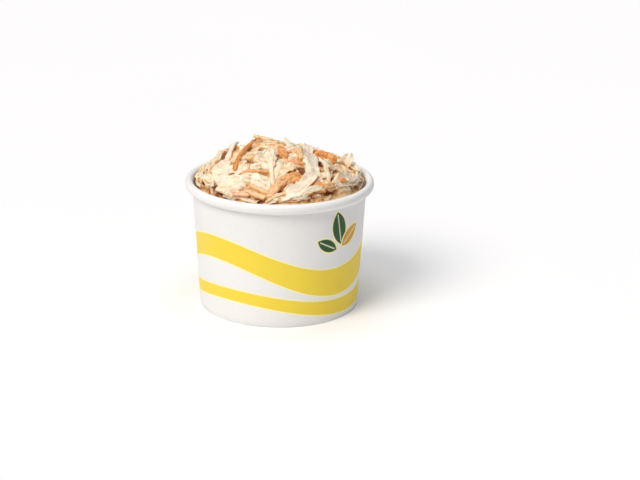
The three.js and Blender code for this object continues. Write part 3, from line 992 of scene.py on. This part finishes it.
def guide(piece, path, draw):
    """One guide line: rows of centre, side, up, half width, half thickness, share along, tone, phase.

    It narrows towards its ends, swells and thins a little on the way, and has rounded ends."""
    count = max(9, round(piece["length"] / GUIDE_STEP))
    line = smooth_line(path, count)
    tangents = np.gradient(line, axis=0)
    wobble = [6.28 * draw() for _ in range(4)]
    rows = []
    for k in range(count):
        share = k / (count - 1)
        along = Vector(tangents[k]).normalized()
        side = dome_normal(line[k][0], line[k][1]).cross(along).normalized()
        up = along.cross(side)
        roll = piece["lean"] + piece["twist"] * (share - 0.5)
        edge = math.cos(roll) * side + math.sin(roll) * up
        face = math.cos(roll) * up - math.sin(roll) * side
        far = abs(2 * share - 1)
        taper = 1 - piece["taper"] * far ** 3
        uneven = 1 + 0.10 * math.sin(9 * share + wobble[0]) + 0.07 * math.sin(21 * share + wobble[1])
        end = math.sqrt(max(0.0, 1 - max(0.0, (far - END_START) / END_LENGTH) ** 2))
        half_width = piece["width"] / 2 * taper * uneven * (TIP_WIDTH + (1 - TIP_WIDTH) * end)
        thinner = 1 + 0.12 * math.sin(13 * share + wobble[2])
        half_thick = piece["thickness"] / 2 * (TIP_THICKNESS + (1 - TIP_THICKNESS) * end) * thinner
        rows.append((Vector(line[k]), edge, face, half_width, half_thick, share, piece["tone"], wobble[3]))
    return rows


def guide_mesh(name, guides):
    """All the guide lines of a kind as one mesh of edges, with the rows as point attributes."""
    rows = [row for lines in guides for row in lines]
    edges, start = [], 0
    for lines in guides:
        edges += [(start + k, start + k + 1) for k in range(len(lines) - 1)]
        start += len(lines)
    mesh = bpy.data.meshes.new(name + "_guides")
    mesh.from_pydata([row[0] * MM for row in rows], edges, [])
    for column, (field, kind) in enumerate(GUIDE_FIELDS.items()):
        attribute = mesh.attributes.new(field, kind, "POINT")
        is_vector = kind == "FLOAT_VECTOR"
        values = np.array([tuple(row[column]) if is_vector else row[column] for row in rows])
        if field in ("centre", "half_width", "half_thick"):
            values = values * MM
        values = values.astype(np.float32).ravel()
        attribute.data.foreach_set("vector" if is_vector else "value", values)
    return mesh


print("each point of a guide line carries", ", ".join(GUIDE_FIELDS))

# %% The strip tree
# Of the depth of a cup, this share lies below the strip's level, and the rest is how far its edges rise.
# The ruffle runs a little aslant, and each strip is roughened by noise of its own.
CUP_SINK = 0.4
RUFFLE_SLANT = 1.3
NOISE_APART = 7.0


def strip_tree():
    """Sweeps a rounded, squared section along guide lines, then ruffles, cups and roughens it."""
    tree, given = start_tree(
        "strip_along_guides",
        {
            "Section points": 16, "Squareness": 0.45, "Cup": 0.0, "Ruffle": 0.0, "Ruffle waves": 3.0,
            "Rib": 0.0, "Rib count": 4.0, "Grain": 0.15, "Grain size": 1.4, "Material": None,
        },
    )
    lines = add_node(tree, "GeometryNodeMeshToCurve", {"Mesh": given["Geometry"]})
    ring = add_node(
        tree, "GeometryNodeCurvePrimitiveCircle", {"Resolution": given["Section points"], "Radius": 1.0}
    )
    spot = add_node(tree, "GeometryNodeInputPosition")
    size = add_node(tree, "ShaderNodeVectorMath", {0: spot}, operation="ABSOLUTE")
    power = add_node(
        tree, "ShaderNodeCombineXYZ", {"X": given["Squareness"], "Y": given["Squareness"], "Z": 1.0}
    )
    bent = add_node(tree, "ShaderNodeVectorMath", {0: size, 1: power}, operation="POWER")
    sign = add_node(tree, "ShaderNodeVectorMath", {0: spot}, operation="SIGN")
    squared = add_node(tree, "ShaderNodeVectorMath", {0: bent, 1: sign}, operation="MULTIPLY")
    section = add_node(
        tree, "GeometryNodeStoreNamedAttribute",
        {"Geometry": ring, "Name": "section", "Value": squared}, data_type="FLOAT_VECTOR",
    )
    skin = add_node(
        tree, "GeometryNodeCurveToMesh",
        {"Curve": lines, "Profile Curve": section, "Fill Caps": True},
    )
    read = {
        field: add_node(tree, "GeometryNodeInputNamedAttribute", {"Name": field}, data_type=kind)
        for field, kind in {**GUIDE_FIELDS, "section": "FLOAT_VECTOR"}.items()
    }
    own = add_node(tree, "ShaderNodeSeparateXYZ", {"Vector": read["section"]}).outputs
    outward = add_node(tree, "ShaderNodeMath", {0: own["X"], 1: own["X"]}, operation="MULTIPLY")
    thick = add_node(tree, "ShaderNodeMath", {0: own["Y"], 1: read["half_thick"]}, operation="MULTIPLY")
    level = add_node(tree, "ShaderNodeMath", {0: outward, 1: CUP_SINK}, operation="SUBTRACT")
    cupped = add_node(
        tree, "ShaderNodeMath", {0: level, 1: given["Cup"], 2: thick}, operation="MULTIPLY_ADD"
    )
    travel = add_node(
        tree, "ShaderNodeMath", {0: read["along"], 1: given["Ruffle waves"]}, operation="MULTIPLY"
    )
    turns = add_node(
        tree, "ShaderNodeMath", {0: travel, 1: 2 * math.pi, 2: read["phase"]}, operation="MULTIPLY_ADD"
    )
    offset = add_node(
        tree, "ShaderNodeMath", {0: own["X"], 1: RUFFLE_SLANT, 2: turns}, operation="MULTIPLY_ADD"
    )
    swing = add_node(tree, "ShaderNodeMath", {0: offset}, operation="SINE")
    at_edge = add_node(tree, "ShaderNodeMath", {0: swing, 1: outward}, operation="MULTIPLY")
    ruffled = add_node(
        tree, "ShaderNodeMath", {0: at_edge, 1: given["Ruffle"], 2: cupped}, operation="MULTIPLY_ADD"
    )
    rib_turn = add_node(
        tree, "ShaderNodeMath", {0: own["X"], 1: given["Rib count"]}, operation="MULTIPLY"
    )
    rib_wave = add_node(tree, "ShaderNodeMath", {0: rib_turn}, operation="COSINE")
    ribbed = add_node(
        tree, "ShaderNodeMath", {0: rib_wave, 1: given["Rib"], 2: ruffled}, operation="MULTIPLY_ADD"
    )
    wide = add_node(tree, "ShaderNodeMath", {0: own["X"], 1: read["half_width"]}, operation="MULTIPLY")
    aside = add_node(tree, "ShaderNodeVectorMath", {0: read["side"], "Scale": wide}, operation="SCALE")
    above = add_node(tree, "ShaderNodeVectorMath", {0: read["up"], "Scale": ribbed}, operation="SCALE")
    beside = add_node(tree, "ShaderNodeVectorMath", {0: read["centre"], 1: aside}, operation="ADD")
    place = add_node(tree, "ShaderNodeVectorMath", {0: beside, 1: above}, operation="ADD")
    swept = add_node(tree, "GeometryNodeSetPosition", {"Geometry": skin, "Position": place})
    fineness = add_node(tree, "ShaderNodeMath", {0: 1 / MM, 1: given["Grain size"]}, operation="DIVIDE")
    own_field = add_node(
        tree, "ShaderNodeMath", {0: read["phase"], 1: NOISE_APART}, operation="MULTIPLY"
    )
    knobs = add_node(
        tree, "ShaderNodeTexNoise",
        {"Vector": spot, "W": own_field, "Scale": fineness, "Detail": 2.0}, noise_dimensions="4D",
    ).outputs["Color"]
    centred = add_node(tree, "ShaderNodeVectorMath", {0: knobs, 1: (0.5, 0.5, 0.5)}, operation="SUBTRACT")
    amount = add_node(tree, "ShaderNodeMath", {0: given["Grain"], 1: 2 * MM}, operation="MULTIPLY")
    shift = add_node(tree, "ShaderNodeVectorMath", {0: centred, "Scale": amount}, operation="SCALE")
    rough = add_node(tree, "GeometryNodeSetPosition", {"Geometry": swept, "Offset": shift})
    end_tree(tree, rough, given["Material"])
    return tree


stripping = strip_tree()
print("strip tree:", len(stripping.nodes), "nodes")

# %% [markdown]
# ## Vegetable under dressing
#
# Shredded cabbage is pale and slightly see-through, carrot is orange and denser, and both wear a film of
# mayonnaise dressing that fills in their colour and makes them wet. Light goes in and comes out a
# millimetre further on, warmer than it went in, so the shaders use subsurface scattering. The film isn't
# even: it lies thick in some places and has run off others, and that decides how much of the vegetable's
# own colour shows. The colour also goes by a depth that is written on each point later: the deeper a
# place lies in the heap, the darker and browner it is painted, as painted shade in the creases.

# %% The dressed material
# Cell walls in a cut shred are a few hundredths of a millimetre apart, too fine to show. The streaks are
# the bundles of them, a few across a shred, and longer along it.
STREAKS = 2.6
STREAK_LENGTHENING = 0.6
STREAK_RANGE = (0.46, 0.62)
STREAK_DEPTH = 0.55
FILM_PATCH = 1.7
FILM_RANGE = (0.42, 0.58)
FILM_SPREAD = (-0.45, 0.4)
FILM_ON_PALE = 1.2
FILM_LOSS_BY_TONE = -0.6
FILM_HUE_TURN = 1.7
PAINTED_SHADE_RANGE = (0.42, 0.82)
PAINTED_SHADE_MOST = 0.9
FILM_RIPPLE = 1.1
FILM_RIPPLE_HEIGHT = 0.3


def dressed(name, pale, deep, streak_and_shade, films, film_share, warmth):
    """A vegetable's colours from pale to deep by its tone, streaked along the cut, under a milky film,
    painted darker deep down as shade.
    """
    material = bpy.data.materials.new(name)
    material.use_nodes = True
    tree = material.node_tree
    shader = tree.nodes["Principled BSDF"]
    shader.subsurface_method = "RANDOM_WALK"
    for socket, value in {
        "Roughness": 0.42, "IOR": 1.42, "Subsurface Weight": 0.5, "Subsurface Scale": 0.7 * MM,
        "Coat Weight": 0.3, "Coat Roughness": 0.18,
    }.items():
        shader.inputs[socket].default_value = value
    shader.inputs["Subsurface Radius"].default_value = warmth
    place = add_node(tree, "ShaderNodeTexCoord").outputs["Object"]
    tone = add_node(tree, "ShaderNodeAttribute", attribute_name="tone").outputs["Fac"]
    along = add_node(tree, "ShaderNodeAttribute", attribute_name="along").outputs["Fac"]
    section = add_node(tree, "ShaderNodeAttribute", attribute_name="section").outputs["Vector"]
    phase = add_node(tree, "ShaderNodeAttribute", attribute_name="phase").outputs["Fac"]
    across = add_node(tree, "ShaderNodeSeparateXYZ", {"Vector": section}).outputs["X"]
    long_wise = add_node(tree, "ShaderNodeMath", {0: along, 1: STREAK_LENGTHENING}, operation="MULTIPLY")
    fibre_place = add_node(tree, "ShaderNodeCombineXYZ", {"X": across, "Y": long_wise, "Z": phase})
    fibre = add_node(
        tree, "ShaderNodeTexNoise",
        {"Vector": fibre_place, "Scale": STREAKS, "Detail": 3.0, "Roughness": 0.6},
    ).outputs["Fac"]
    blotch = add_node(
        tree, "ShaderNodeTexNoise",
        {"Vector": place, "Scale": 1 / (FILM_PATCH * MM), "Detail": 3.0, "Roughness": 0.65},
    ).outputs["Fac"]
    own = add_node(
        tree, "ShaderNodeMix", {"Factor": tone, MIX_A: linear(pale), MIX_B: linear(deep)}, data_type="RGBA"
    ).outputs[MIX_RESULT]
    streak = add_node(
        tree, "ShaderNodeMapRange",
        {"Value": fibre, "From Min": STREAK_RANGE[0], "From Max": STREAK_RANGE[1], "To Max": STREAK_DEPTH},
    )
    streaked = add_node(
        tree, "ShaderNodeMix", {"Factor": streak, MIX_A: own, MIX_B: linear(streak_and_shade)}, data_type="RGBA"
    ).outputs[MIX_RESULT]
    hue = add_node(tree, "ShaderNodeMath", {0: phase, 1: FILM_HUE_TURN}, operation="PINGPONG")
    hue_share = add_node(tree, "ShaderNodeMath", {0: hue, 1: FILM_HUE_TURN}, operation="DIVIDE")
    pinker, yellower = films
    film = add_node(
        tree, "ShaderNodeMix",
        {"Factor": hue_share, MIX_A: linear(pinker), MIX_B: linear(yellower)}, data_type="RGBA",
    ).outputs[MIX_RESULT]
    cover = add_node(
        tree, "ShaderNodeMapRange",
        {
            "Value": blotch, "From Min": FILM_RANGE[0], "From Max": FILM_RANGE[1],
            "To Min": film_share + FILM_SPREAD[0], "To Max": film_share + FILM_SPREAD[1],
        },
    )
    held = add_node(
        tree, "ShaderNodeMath", {0: tone, 1: FILM_LOSS_BY_TONE, 2: FILM_ON_PALE}, operation="MULTIPLY_ADD"
    )
    coated = add_node(tree, "ShaderNodeMath", {0: cover, 1: held}, operation="MULTIPLY", use_clamp=True)
    filmed = add_node(
        tree, "ShaderNodeMix", {"Factor": coated, MIX_A: streaked, MIX_B: film}, data_type="RGBA"
    ).outputs[MIX_RESULT]
    # Painted shade: the deeper a point lies among the pieces, the more its colour goes over to the dark
    # streak colour.
    depth = add_node(tree, "ShaderNodeAttribute", attribute_name="depth").outputs["Fac"]
    painted_crease_shade = add_node(
        tree, "ShaderNodeMapRange",
        {"Value": depth, "From Min": PAINTED_SHADE_RANGE[0], "From Max": PAINTED_SHADE_RANGE[1], "To Max": PAINTED_SHADE_MOST},
    )
    colour = add_node(
        tree, "ShaderNodeMix", {"Factor": painted_crease_shade, MIX_A: filmed, MIX_B: linear(streak_and_shade)}, data_type="RGBA"
    ).outputs[MIX_RESULT]
    tree.links.new(colour, shader.inputs["Base Color"])
    ripple = add_node(
        tree, "ShaderNodeTexNoise", {"Vector": place, "Scale": 1 / (FILM_RIPPLE * MM), "Detail": 2.0}
    ).outputs["Fac"]
    relief = add_node(
        tree, "ShaderNodeBump", {"Height": ripple, "Strength": 0.5, "Distance": FILM_RIPPLE_HEIGHT * MM}
    )
    tree.links.new(relief.outputs["Normal"], shader.inputs["Normal"])
    return material


# Each film has two colours, and a piece's own phase picks one between them.
CREAM = ("fce6d4", "fcf1d2")
CARROT_CREAM = ("fbcfb0", "fbd488")
PALE_WARMTH = (1.0, 0.62, 0.34)
CARROT_WARMTH = (1.0, 0.6, 0.3)

# %% Four vegetables and their shapes
# Pale and deep are the ends of a vegetable's own colour. The third colour is that of its streaks, and it is
# also the painted shade of what lies deep in the heap.
MATERIALS = {
    "ribbon": dressed("white_cabbage_dressed", "fbf0df", "f5d6a0", "c98420", CREAM, 0.5, PALE_WARMTH),
    "shred": dressed("cabbage_heart_dressed", "fbf0df", "f5d49c", "c98020", CREAM, 0.45, PALE_WARMTH),
    "carrot": dressed("carrot_dressed", "fcdab0", "e4902e", "b05808", CARROT_CREAM, 0.32, CARROT_WARMTH),
    "leaf": dressed("cabbage_leaf_dressed", "fbefdd", "f4d5a0", "c98420", CREAM, 0.5, PALE_WARMTH),
}
SHAPES = {
    "ribbon": {
        "Section points": 24, "Squareness": 0.62, "Cup": 0.5 * MM, "Ruffle": 0.6 * MM, "Ruffle waves": 2.5,
        "Rib": 0.07 * MM, "Rib count": 7.0, "Grain": 0.18, "Grain size": 2.0,
    },
    "shred": {
        "Section points": 14, "Squareness": 0.7, "Cup": 0.15 * MM, "Ruffle": 0.25 * MM, "Ruffle waves": 3.0,
        "Grain": 0.18, "Grain size": 1.8,
    },
    "carrot": {"Section points": 14, "Squareness": 0.55, "Grain": 0.14, "Grain size": 1.4},
    "leaf": {
        "Section points": 30, "Squareness": 0.62, "Cup": 0.8 * MM, "Ruffle": 0.8 * MM, "Ruffle waves": 1.6,
        "Rib": 0.12 * MM, "Rib count": 9.0, "Grain": 0.24, "Grain size": 2.4,
    },
}
PIECE_NAMES = {
    "ribbon": "cabbage_ribbons",
    "shred": "cabbage_shreds",
    "carrot": "carrot_sticks",
    "leaf": "cabbage_leaves",
}
print("materials:", *(material.name for material in MATERIALS.values()))

# %% The four kinds of piece
WOBBLE_SEED = 7

wobble_draw = seeded(WOBBLE_SEED)
guides_by_kind = {name: [] for name in KINDS}
for piece, path in laid:
    guides_by_kind[piece["name"]].append(guide(piece, path, wobble_draw))
heap = []
for kind, guides in guides_by_kind.items():
    name = PIECE_NAMES[kind]
    shape = {"Material": MATERIALS[kind], **SHAPES[kind]}
    heap.append(run_tree(stripping, guide_mesh(name, guides), name, shape))

# %% [markdown]
# ## The mass between the shreds
#
# The dressing and the smallest bits gather in the creases, so that shreds don't meet in sharp lines. One
# way to get that is to wrap everything in a single skin and then to smooth it: the skin shrinks where
# shreds stand out, and swells where they meet. Only the swollen places show between the shreds. The skin
# is a voxel remesh of the shreds and a plain body together. By the wall the body slopes down, so that
# shreds show there, and low down the skin is drawn out to the wall, so that no dark gap is left. The mass
# below the skin, which never shows, is a second plain body that goes on down to the base.

# %% The body that the shreds lie on
CORE_RINGS = 56
CORE_ROUNDS = 2
CORE_SINK = 1.5
DEEPEST_CREASE = 3.2
CORE_LUMP = 0.8
LUMP_SIZE = 2.4
FINER_LUMPS = 2.3
WALL_BAND = 3.0
WALL_MARGIN = 1.5
WALL_DROP = 6.6
BODY_DEPTH = 5.0


def spread(heights, pick):
    """Runs pick over each cell and its eight neighbours."""
    padded = np.pad(heights, 1, mode="edge")
    rows, columns = heights.shape
    return pick([padded[r:r + rows, c:c + columns] for r in range(3) for c in range(3)], axis=0)


def field_height(heights, x, y):
    """The height of a field between its cells' centres. It takes arrays."""
    column, row = x / CELL + main_field.half, y / CELL + main_field.half
    c, r = column.astype(int), row.astype(int)
    u, v = column - c, row - r
    front = heights[r, c] * (1 - u) + heights[r, c + 1] * u
    back = heights[r + 1, c] * (1 - u) + heights[r + 1, c + 1] * u
    return front * (1 - v) + back * v


def carried_outwards(heights):
    """The heights with those near the wall carried on over the cells where no piece can lie."""
    ticks = (np.arange(2 * main_field.half + 1) - main_field.half) * CELL
    x, y = np.meshgrid(ticks, ticks)
    inwards = np.minimum(1.0, (FILL_RADIUS - WALL_MARGIN) / np.maximum(np.hypot(x, y), 1e-6))
    return field_height(heights, x * inwards, y * inwards)


laid_relief = carried_outwards(main_field.heights - HeightField().heights)
settled = laid_relief
for _ in range(CORE_ROUNDS):
    settled = spread(settled, np.mean)
tops = spread(spread(laid_relief, np.max), np.max)
highest = spread(spread(laid_relief, np.max), np.mean)
settled = spread(np.maximum(settled - CORE_SINK, tops - DEEPEST_CREASE), np.mean)


def at_wall(x, y):
    """A share that goes from 0 to 1 over the band next to the wall."""
    return np.clip((np.hypot(x, y) - FILL_RADIUS + WALL_BAND) / WALL_BAND, 0.0, 1.0)


def relief_at(relief, x, y):
    """Height of the dome with a relief on it."""
    return dome_height(x, y) + field_height(relief, x, y)


def read_vectors(items, name):
    """One vector of every item, such as the vertices' places, as an array of rows."""
    values = np.zeros(3 * len(items), np.float32)
    items.foreach_get(name, values)
    return values.reshape(-1, 3)


def core_height(x, y):
    """The heap's mean height, lowered, with lumps of chopped bits. It slopes down to the wall."""
    spots = [Vector((a, b, 0)) / LUMP_SIZE for a, b in zip(x, y)]
    lump = np.array([noise.noise(spot) + 0.5 * noise.noise(spot * FINER_LUMPS) for spot in spots])
    near = at_wall(x, y)
    return relief_at(settled, x, y) - WALL_DROP * near + CORE_LUMP * lump * (1 - near)


def heap_body(name, foot, foot_radius, drop, material):
    """A plain closed body with a flat foot, whose top follows the core's height less a drop."""
    section = [(0.0, foot), (foot_radius, foot)]
    rough_top = FILL_EDGE - drop - 1
    section += [(FILL_RADIUS * ring / CORE_RINGS, rough_top) for ring in range(CORE_RINGS, -1, -1)]
    body = turned_piece(name, section, 0.0, material)
    places = read_vectors(body.data.vertices, "co")
    on_top = places[:, 2] > (foot + 0.1) * MM
    places[on_top, 2] = (core_height(places[on_top, 0] / MM, places[on_top, 1] / MM) - drop) * MM
    body.data.vertices.foreach_set("co", places.ravel())
    body.data.update()
    return body


print("the pieces stand up to", round(float(laid_relief.max()), 1), "mm over the bare dome")

# %% Chopped cabbage in dressing, as a material
BIT_SIZE = 1.8
BIT_HEIGHT = 0.5
BIT_UNEVEN = 0.9
# The mass's colour by depth: cream near the tops, going over to a painted shade, dark brown, deep in the
# creases.
CREAM_TO_PAINTED_SHADE = ((0.28, "f8e2c2"), (0.54, "edbf7e"), (0.82, "843e00"))


def dressing_mass(name="chopped_cabbage_in_dressing"):
    """Fine bits in dressing, cream on top. Where it lies deep it is painted darker and browner, as shade in
    the creases.
    """
    material = bpy.data.materials.new(name)
    material.use_nodes = True
    tree = material.node_tree
    shader = tree.nodes["Principled BSDF"]
    for socket, value in {
        "Roughness": 0.42, "IOR": 1.42, "Subsurface Weight": 0.4, "Subsurface Scale": 0.9 * MM,
        "Coat Weight": 0.1, "Coat Roughness": 0.18,
    }.items():
        shader.inputs[socket].default_value = value
    shader.inputs["Subsurface Radius"].default_value = (1.0, 0.55, 0.28)
    place = add_node(tree, "ShaderNodeTexCoord").outputs["Object"]
    bits = add_node(
        tree, "ShaderNodeTexNoise",
        {"Vector": place, "Scale": 1 / (BIT_SIZE * MM), "Detail": 4.0, "Roughness": 0.7},
    ).outputs["Fac"]
    depth = add_node(tree, "ShaderNodeAttribute", attribute_name="depth").outputs["Fac"]
    uneven = add_node(
        tree, "ShaderNodeMath", {0: bits, 1: BIT_UNEVEN, 2: -BIT_UNEVEN / 2}, operation="MULTIPLY_ADD"
    )
    # Painted shade: the deeper the place, the further along the ramp towards dark brown, give or take the
    # bits.
    shade = add_node(tree, "ShaderNodeMath", {0: depth, 1: uneven}, operation="ADD")
    tint = add_node(tree, "ShaderNodeValToRGB", {"Fac": shade})
    stops = tint.color_ramp.elements
    stops.new(CREAM_TO_PAINTED_SHADE[1][0])
    for stop, (position, colour) in zip(stops, CREAM_TO_PAINTED_SHADE):
        stop.position = position
        stop.color = linear(colour)
    tree.links.new(tint.outputs["Color"], shader.inputs["Base Color"])
    relief = add_node(
        tree, "ShaderNodeBump", {"Height": bits, "Strength": 0.5, "Distance": BIT_HEIGHT * MM}
    )
    tree.links.new(relief.outputs["Normal"], shader.inputs["Normal"])
    return material


mass = dressing_mass()
print("material:", mass.name)

# %% The skin of dressing
SKIN_VOXEL = 0.48
SKIN_ROUNDS = 4
SKIN_SINK = 0.3
SKIN_SINK_AT_WALL = 0.9
SKIN_TO_WALL = 1.9
SKIN_DRAW = 1.7
SKIN_FREE = 4.0
WALL_TOUCH = 0.1
SKIN_FOOT = FILL_EDGE - 8

upper_body = heap_body("upper_body", SKIN_FOOT, inner_radius(SKIN_FOOT) - TOUCH_GAP, 0.0, mass)
joined = bmesh.new()
for part in heap + [upper_body]:
    joined.from_mesh(part.data)
wrap_mesh = bpy.data.meshes.new("dressing_wrap")
joined.to_mesh(wrap_mesh)
joined.free()
bpy.data.objects.remove(upper_body)
print("to be wrapped:", len(wrap_mesh.polygons), "faces")

# %% Wrapping and smoothing
wrap = bpy.data.objects.new("dressing_in_creases", wrap_mesh)
bpy.context.scene.collection.objects.link(wrap)
remesh = wrap.modifiers.new("one skin", "REMESH")
remesh.mode = "VOXEL"
remesh.voxel_size = SKIN_VOXEL * MM
smooth = wrap.modifiers.new("swell in creases", "SMOOTH")
smooth.iterations = SKIN_ROUNDS
graph = bpy.context.evaluated_depsgraph_get()
skin = bpy.data.meshes.new_from_object(wrap.evaluated_get(graph), depsgraph=graph)
wrap.modifiers.clear()
wrap.data = skin
print("one skin:", len(skin.polygons), "faces")

# %% Sinking the skin a little, and drawing it out to the wall
places = read_vectors(skin.vertices, "co") / MM
sink = SKIN_SINK + SKIN_SINK_AT_WALL * at_wall(places[:, 0], places[:, 1])
places -= read_vectors(skin.vertices, "normal") * sink[:, None]
x, y, z = places.T
reach = np.maximum(np.hypot(x, y), 1e-6)
near = np.minimum(at_wall(x, y) * SKIN_DRAW, 1.0)
low_down = np.clip(relief_at(highest, x, y) - z - SKIN_FREE, 0.0, 1.0)
wall = inner_radius(np.minimum(z, NECK_HEIGHT)) - WALL_TOUCH
places[:, :2] *= (np.minimum(reach + SKIN_TO_WALL * near * low_down, wall) / reach)[:, None]
skin.vertices.foreach_set("co", (places * MM).ravel())
skin.update()
skin.materials.clear()
skin.materials.append(mass)
skin.shade_smooth()
skin.calc_loop_triangles()
print("dressing_in_creases:", len(skin.loop_triangles), "triangles")
heap.append(wrap)

# %% [markdown]
# ## Depth as an attribute
#
# How dark and brown a place is painted, as shade, goes by how deep it lies among the pieces around it. A
# shader can't see that, so the script measures it once: the height of the tops near a point, less the
# point's own height, written on the mesh as an attribute. The materials above read it by its name, "depth".

# %% How deep each point lies
DEEP = 3.8
# Near the wall the depth counts for less, so the painted shade is lighter there.
LESS_SHADE_AT_WALL = 0.85


def mark_depth(piece):
    """Writes down at each point how far it lies below the tops around it, as a share of a deep crease."""
    x, y, z = (read_vectors(piece.data.vertices, "co") / MM).T
    depths = (relief_at(highest, x, y) - z) / DEEP * (1 - LESS_SHADE_AT_WALL * at_wall(x, y))
    depth = piece.data.attributes.new("depth", "FLOAT", "POINT")
    depth.data.foreach_set("value", depths.astype(np.float32))
    print(piece.name, "lies up to", round(float(depths.max()) * DEEP, 1), "mm deep")


for piece in heap:
    mark_depth(piece)

# %% [markdown]
# ## Crumbs
#
# A knife and a grater leave crumbs too, a millimetre or two long, and the dressing holds them wherever
# they land. They are scattered on the skin of dressing: a tree deals points over its upper faces, and puts
# a small ball on each, flattened, turned and stretched at random. After the balls are made real, a noise
# pushes their points about, so that they are bits and not balls. Each has only 80 faces, as there are many.

# %% The crumb tree
CRUMB_FACES_UP = 0.25
CRUMB_HIGHEST = 0.2
CRUMB_DEEPEST = 0.75
CRUMB_ROUGH = 0.4
CRUMB_KNOB = 0.8
CRUMB_TIP = 0.4
CRUMB_SMALLEST = 0.4


def crumb_tree():
    """Scatters crumbs with random sizes, turns, tones and phases over the upper faces of a skin."""
    tree, given = start_tree(
        "crumbs_on_skin",
        {"Per square mm": 0.2, "Length": 1.0, "Width": 0.6, "Thickness": 0.4, "Seed": 1, "Material": None},
    )
    normal = add_node(tree, "GeometryNodeInputNormal")
    upward = add_node(tree, "ShaderNodeSeparateXYZ", {"Vector": normal}).outputs["Z"]
    faces_up = add_node(
        tree, "FunctionNodeCompare", {0: upward, 1: CRUMB_FACES_UP}, operation="GREATER_THAN"
    )
    depth = add_node(tree, "GeometryNodeInputNamedAttribute", {"Name": "depth"}, data_type="FLOAT")
    below = add_node(tree, "FunctionNodeCompare", {0: depth, 1: CRUMB_HIGHEST}, operation="GREATER_THAN")
    above = add_node(tree, "FunctionNodeCompare", {0: depth, 1: CRUMB_DEEPEST}, operation="LESS_THAN")
    in_crease = add_node(tree, "FunctionNodeBooleanMath", {0: below, 1: above})
    chosen = add_node(tree, "FunctionNodeBooleanMath", {0: faces_up, 1: in_crease})
    density = add_node(
        tree, "ShaderNodeMath", {0: given["Per square mm"], 1: 1 / MM ** 2}, operation="MULTIPLY"
    )
    dealt = add_node(
        tree, "GeometryNodeDistributePointsOnFaces",
        {"Mesh": given["Geometry"], "Selection": chosen, "Density": density, "Seed": given["Seed"]},
    )
    longest = add_node(
        tree, "ShaderNodeCombineXYZ", {"X": given["Length"], "Y": given["Width"], "Z": given["Thickness"]}
    )
    shortest = add_node(
        tree, "ShaderNodeVectorMath", {0: longest, "Scale": CRUMB_SMALLEST}, operation="SCALE"
    )
    size = add_node(
        tree, "FunctionNodeRandomValue",
        {0: shortest, 1: longest, "Seed": given["Seed"]}, data_type="FLOAT_VECTOR",
    )
    scale = add_node(tree, "ShaderNodeVectorMath", {0: size, "Scale": MM / 2}, operation="SCALE")
    turn = add_node(
        tree, "FunctionNodeRandomValue",
        {0: (-CRUMB_TIP, -CRUMB_TIP, 0.0), 1: (CRUMB_TIP, CRUMB_TIP, 2 * math.pi), "Seed": given["Seed"]},
        data_type="FLOAT_VECTOR",
    )
    turned = add_node(
        tree, "FunctionNodeRotateRotation", {"Rotation": dealt.outputs["Rotation"], "Rotate By": turn},
        rotation_space="LOCAL",
    )
    ball = add_node(tree, "GeometryNodeMeshIcoSphere", {"Radius": 1.0, "Subdivisions": 2})
    spot = add_node(tree, "GeometryNodeInputPosition")
    marked = add_node(
        tree, "GeometryNodeStoreNamedAttribute", {"Geometry": ball, "Name": "section", "Value": spot},
        data_type="FLOAT_VECTOR",
    )
    crumbs = add_node(
        tree, "GeometryNodeInstanceOnPoints",
        {"Points": dealt.outputs["Points"], "Instance": marked, "Rotation": turned, "Scale": scale},
    )
    for step, (field, most) in enumerate((("tone", 1.0), ("phase", 2 * math.pi)), start=1):
        drawn = add_node(tree, "FunctionNodeRandomValue", {3: most, "Seed": step}).outputs[1]
        crumbs = add_node(
            tree, "GeometryNodeStoreNamedAttribute", {"Geometry": crumbs, "Name": field, "Value": drawn},
            data_type="FLOAT", domain="INSTANCE",
        )
    real = add_node(tree, "GeometryNodeRealizeInstances", {"Geometry": crumbs})
    knobs = add_node(
        tree, "ShaderNodeTexNoise", {"Vector": spot, "Scale": 1 / (CRUMB_KNOB * MM), "Detail": 1.0}
    ).outputs["Color"]
    centred = add_node(tree, "ShaderNodeVectorMath", {0: knobs, 1: (0.5, 0.5, 0.5)}, operation="SUBTRACT")
    shift = add_node(
        tree, "ShaderNodeVectorMath", {0: centred, "Scale": CRUMB_ROUGH * 2 * MM}, operation="SCALE"
    )
    rough = add_node(tree, "GeometryNodeSetPosition", {"Geometry": real, "Offset": shift})
    end_tree(tree, rough, given["Material"])
    return tree


scattering = crumb_tree()
print("crumb tree:", len(scattering.nodes), "nodes")

# %% Two kinds of crumb
CRUMBS = {
    "cabbage_crumbs": {
        "Per square mm": 0.07, "Length": 3.4, "Width": 1.5, "Thickness": 0.7, "Seed": 5,
        "Material": MATERIALS["shred"],
    },
    "carrot_crumbs": {
        "Per square mm": 0.008, "Length": 4.0, "Width": 1.3, "Thickness": 0.8, "Seed": 9,
        "Material": MATERIALS["carrot"],
    },
}
for name, sizes in CRUMBS.items():
    crumbs = run_tree(scattering, wrap.data.copy(), name, sizes)
    mark_depth(crumbs)
    heap.append(crumbs)

# %% The mass below, and what each piece stands for
core = heap_body("coleslaw_core", FILL_FLOOR, inner_radius(FILL_FLOOR) - TOUCH_GAP, BODY_DEPTH, mass)
heap.append(core)

for piece in heap:
    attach(piece, "root")
    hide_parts("coleslaw")
print("pieces of the heap:", len(heap))
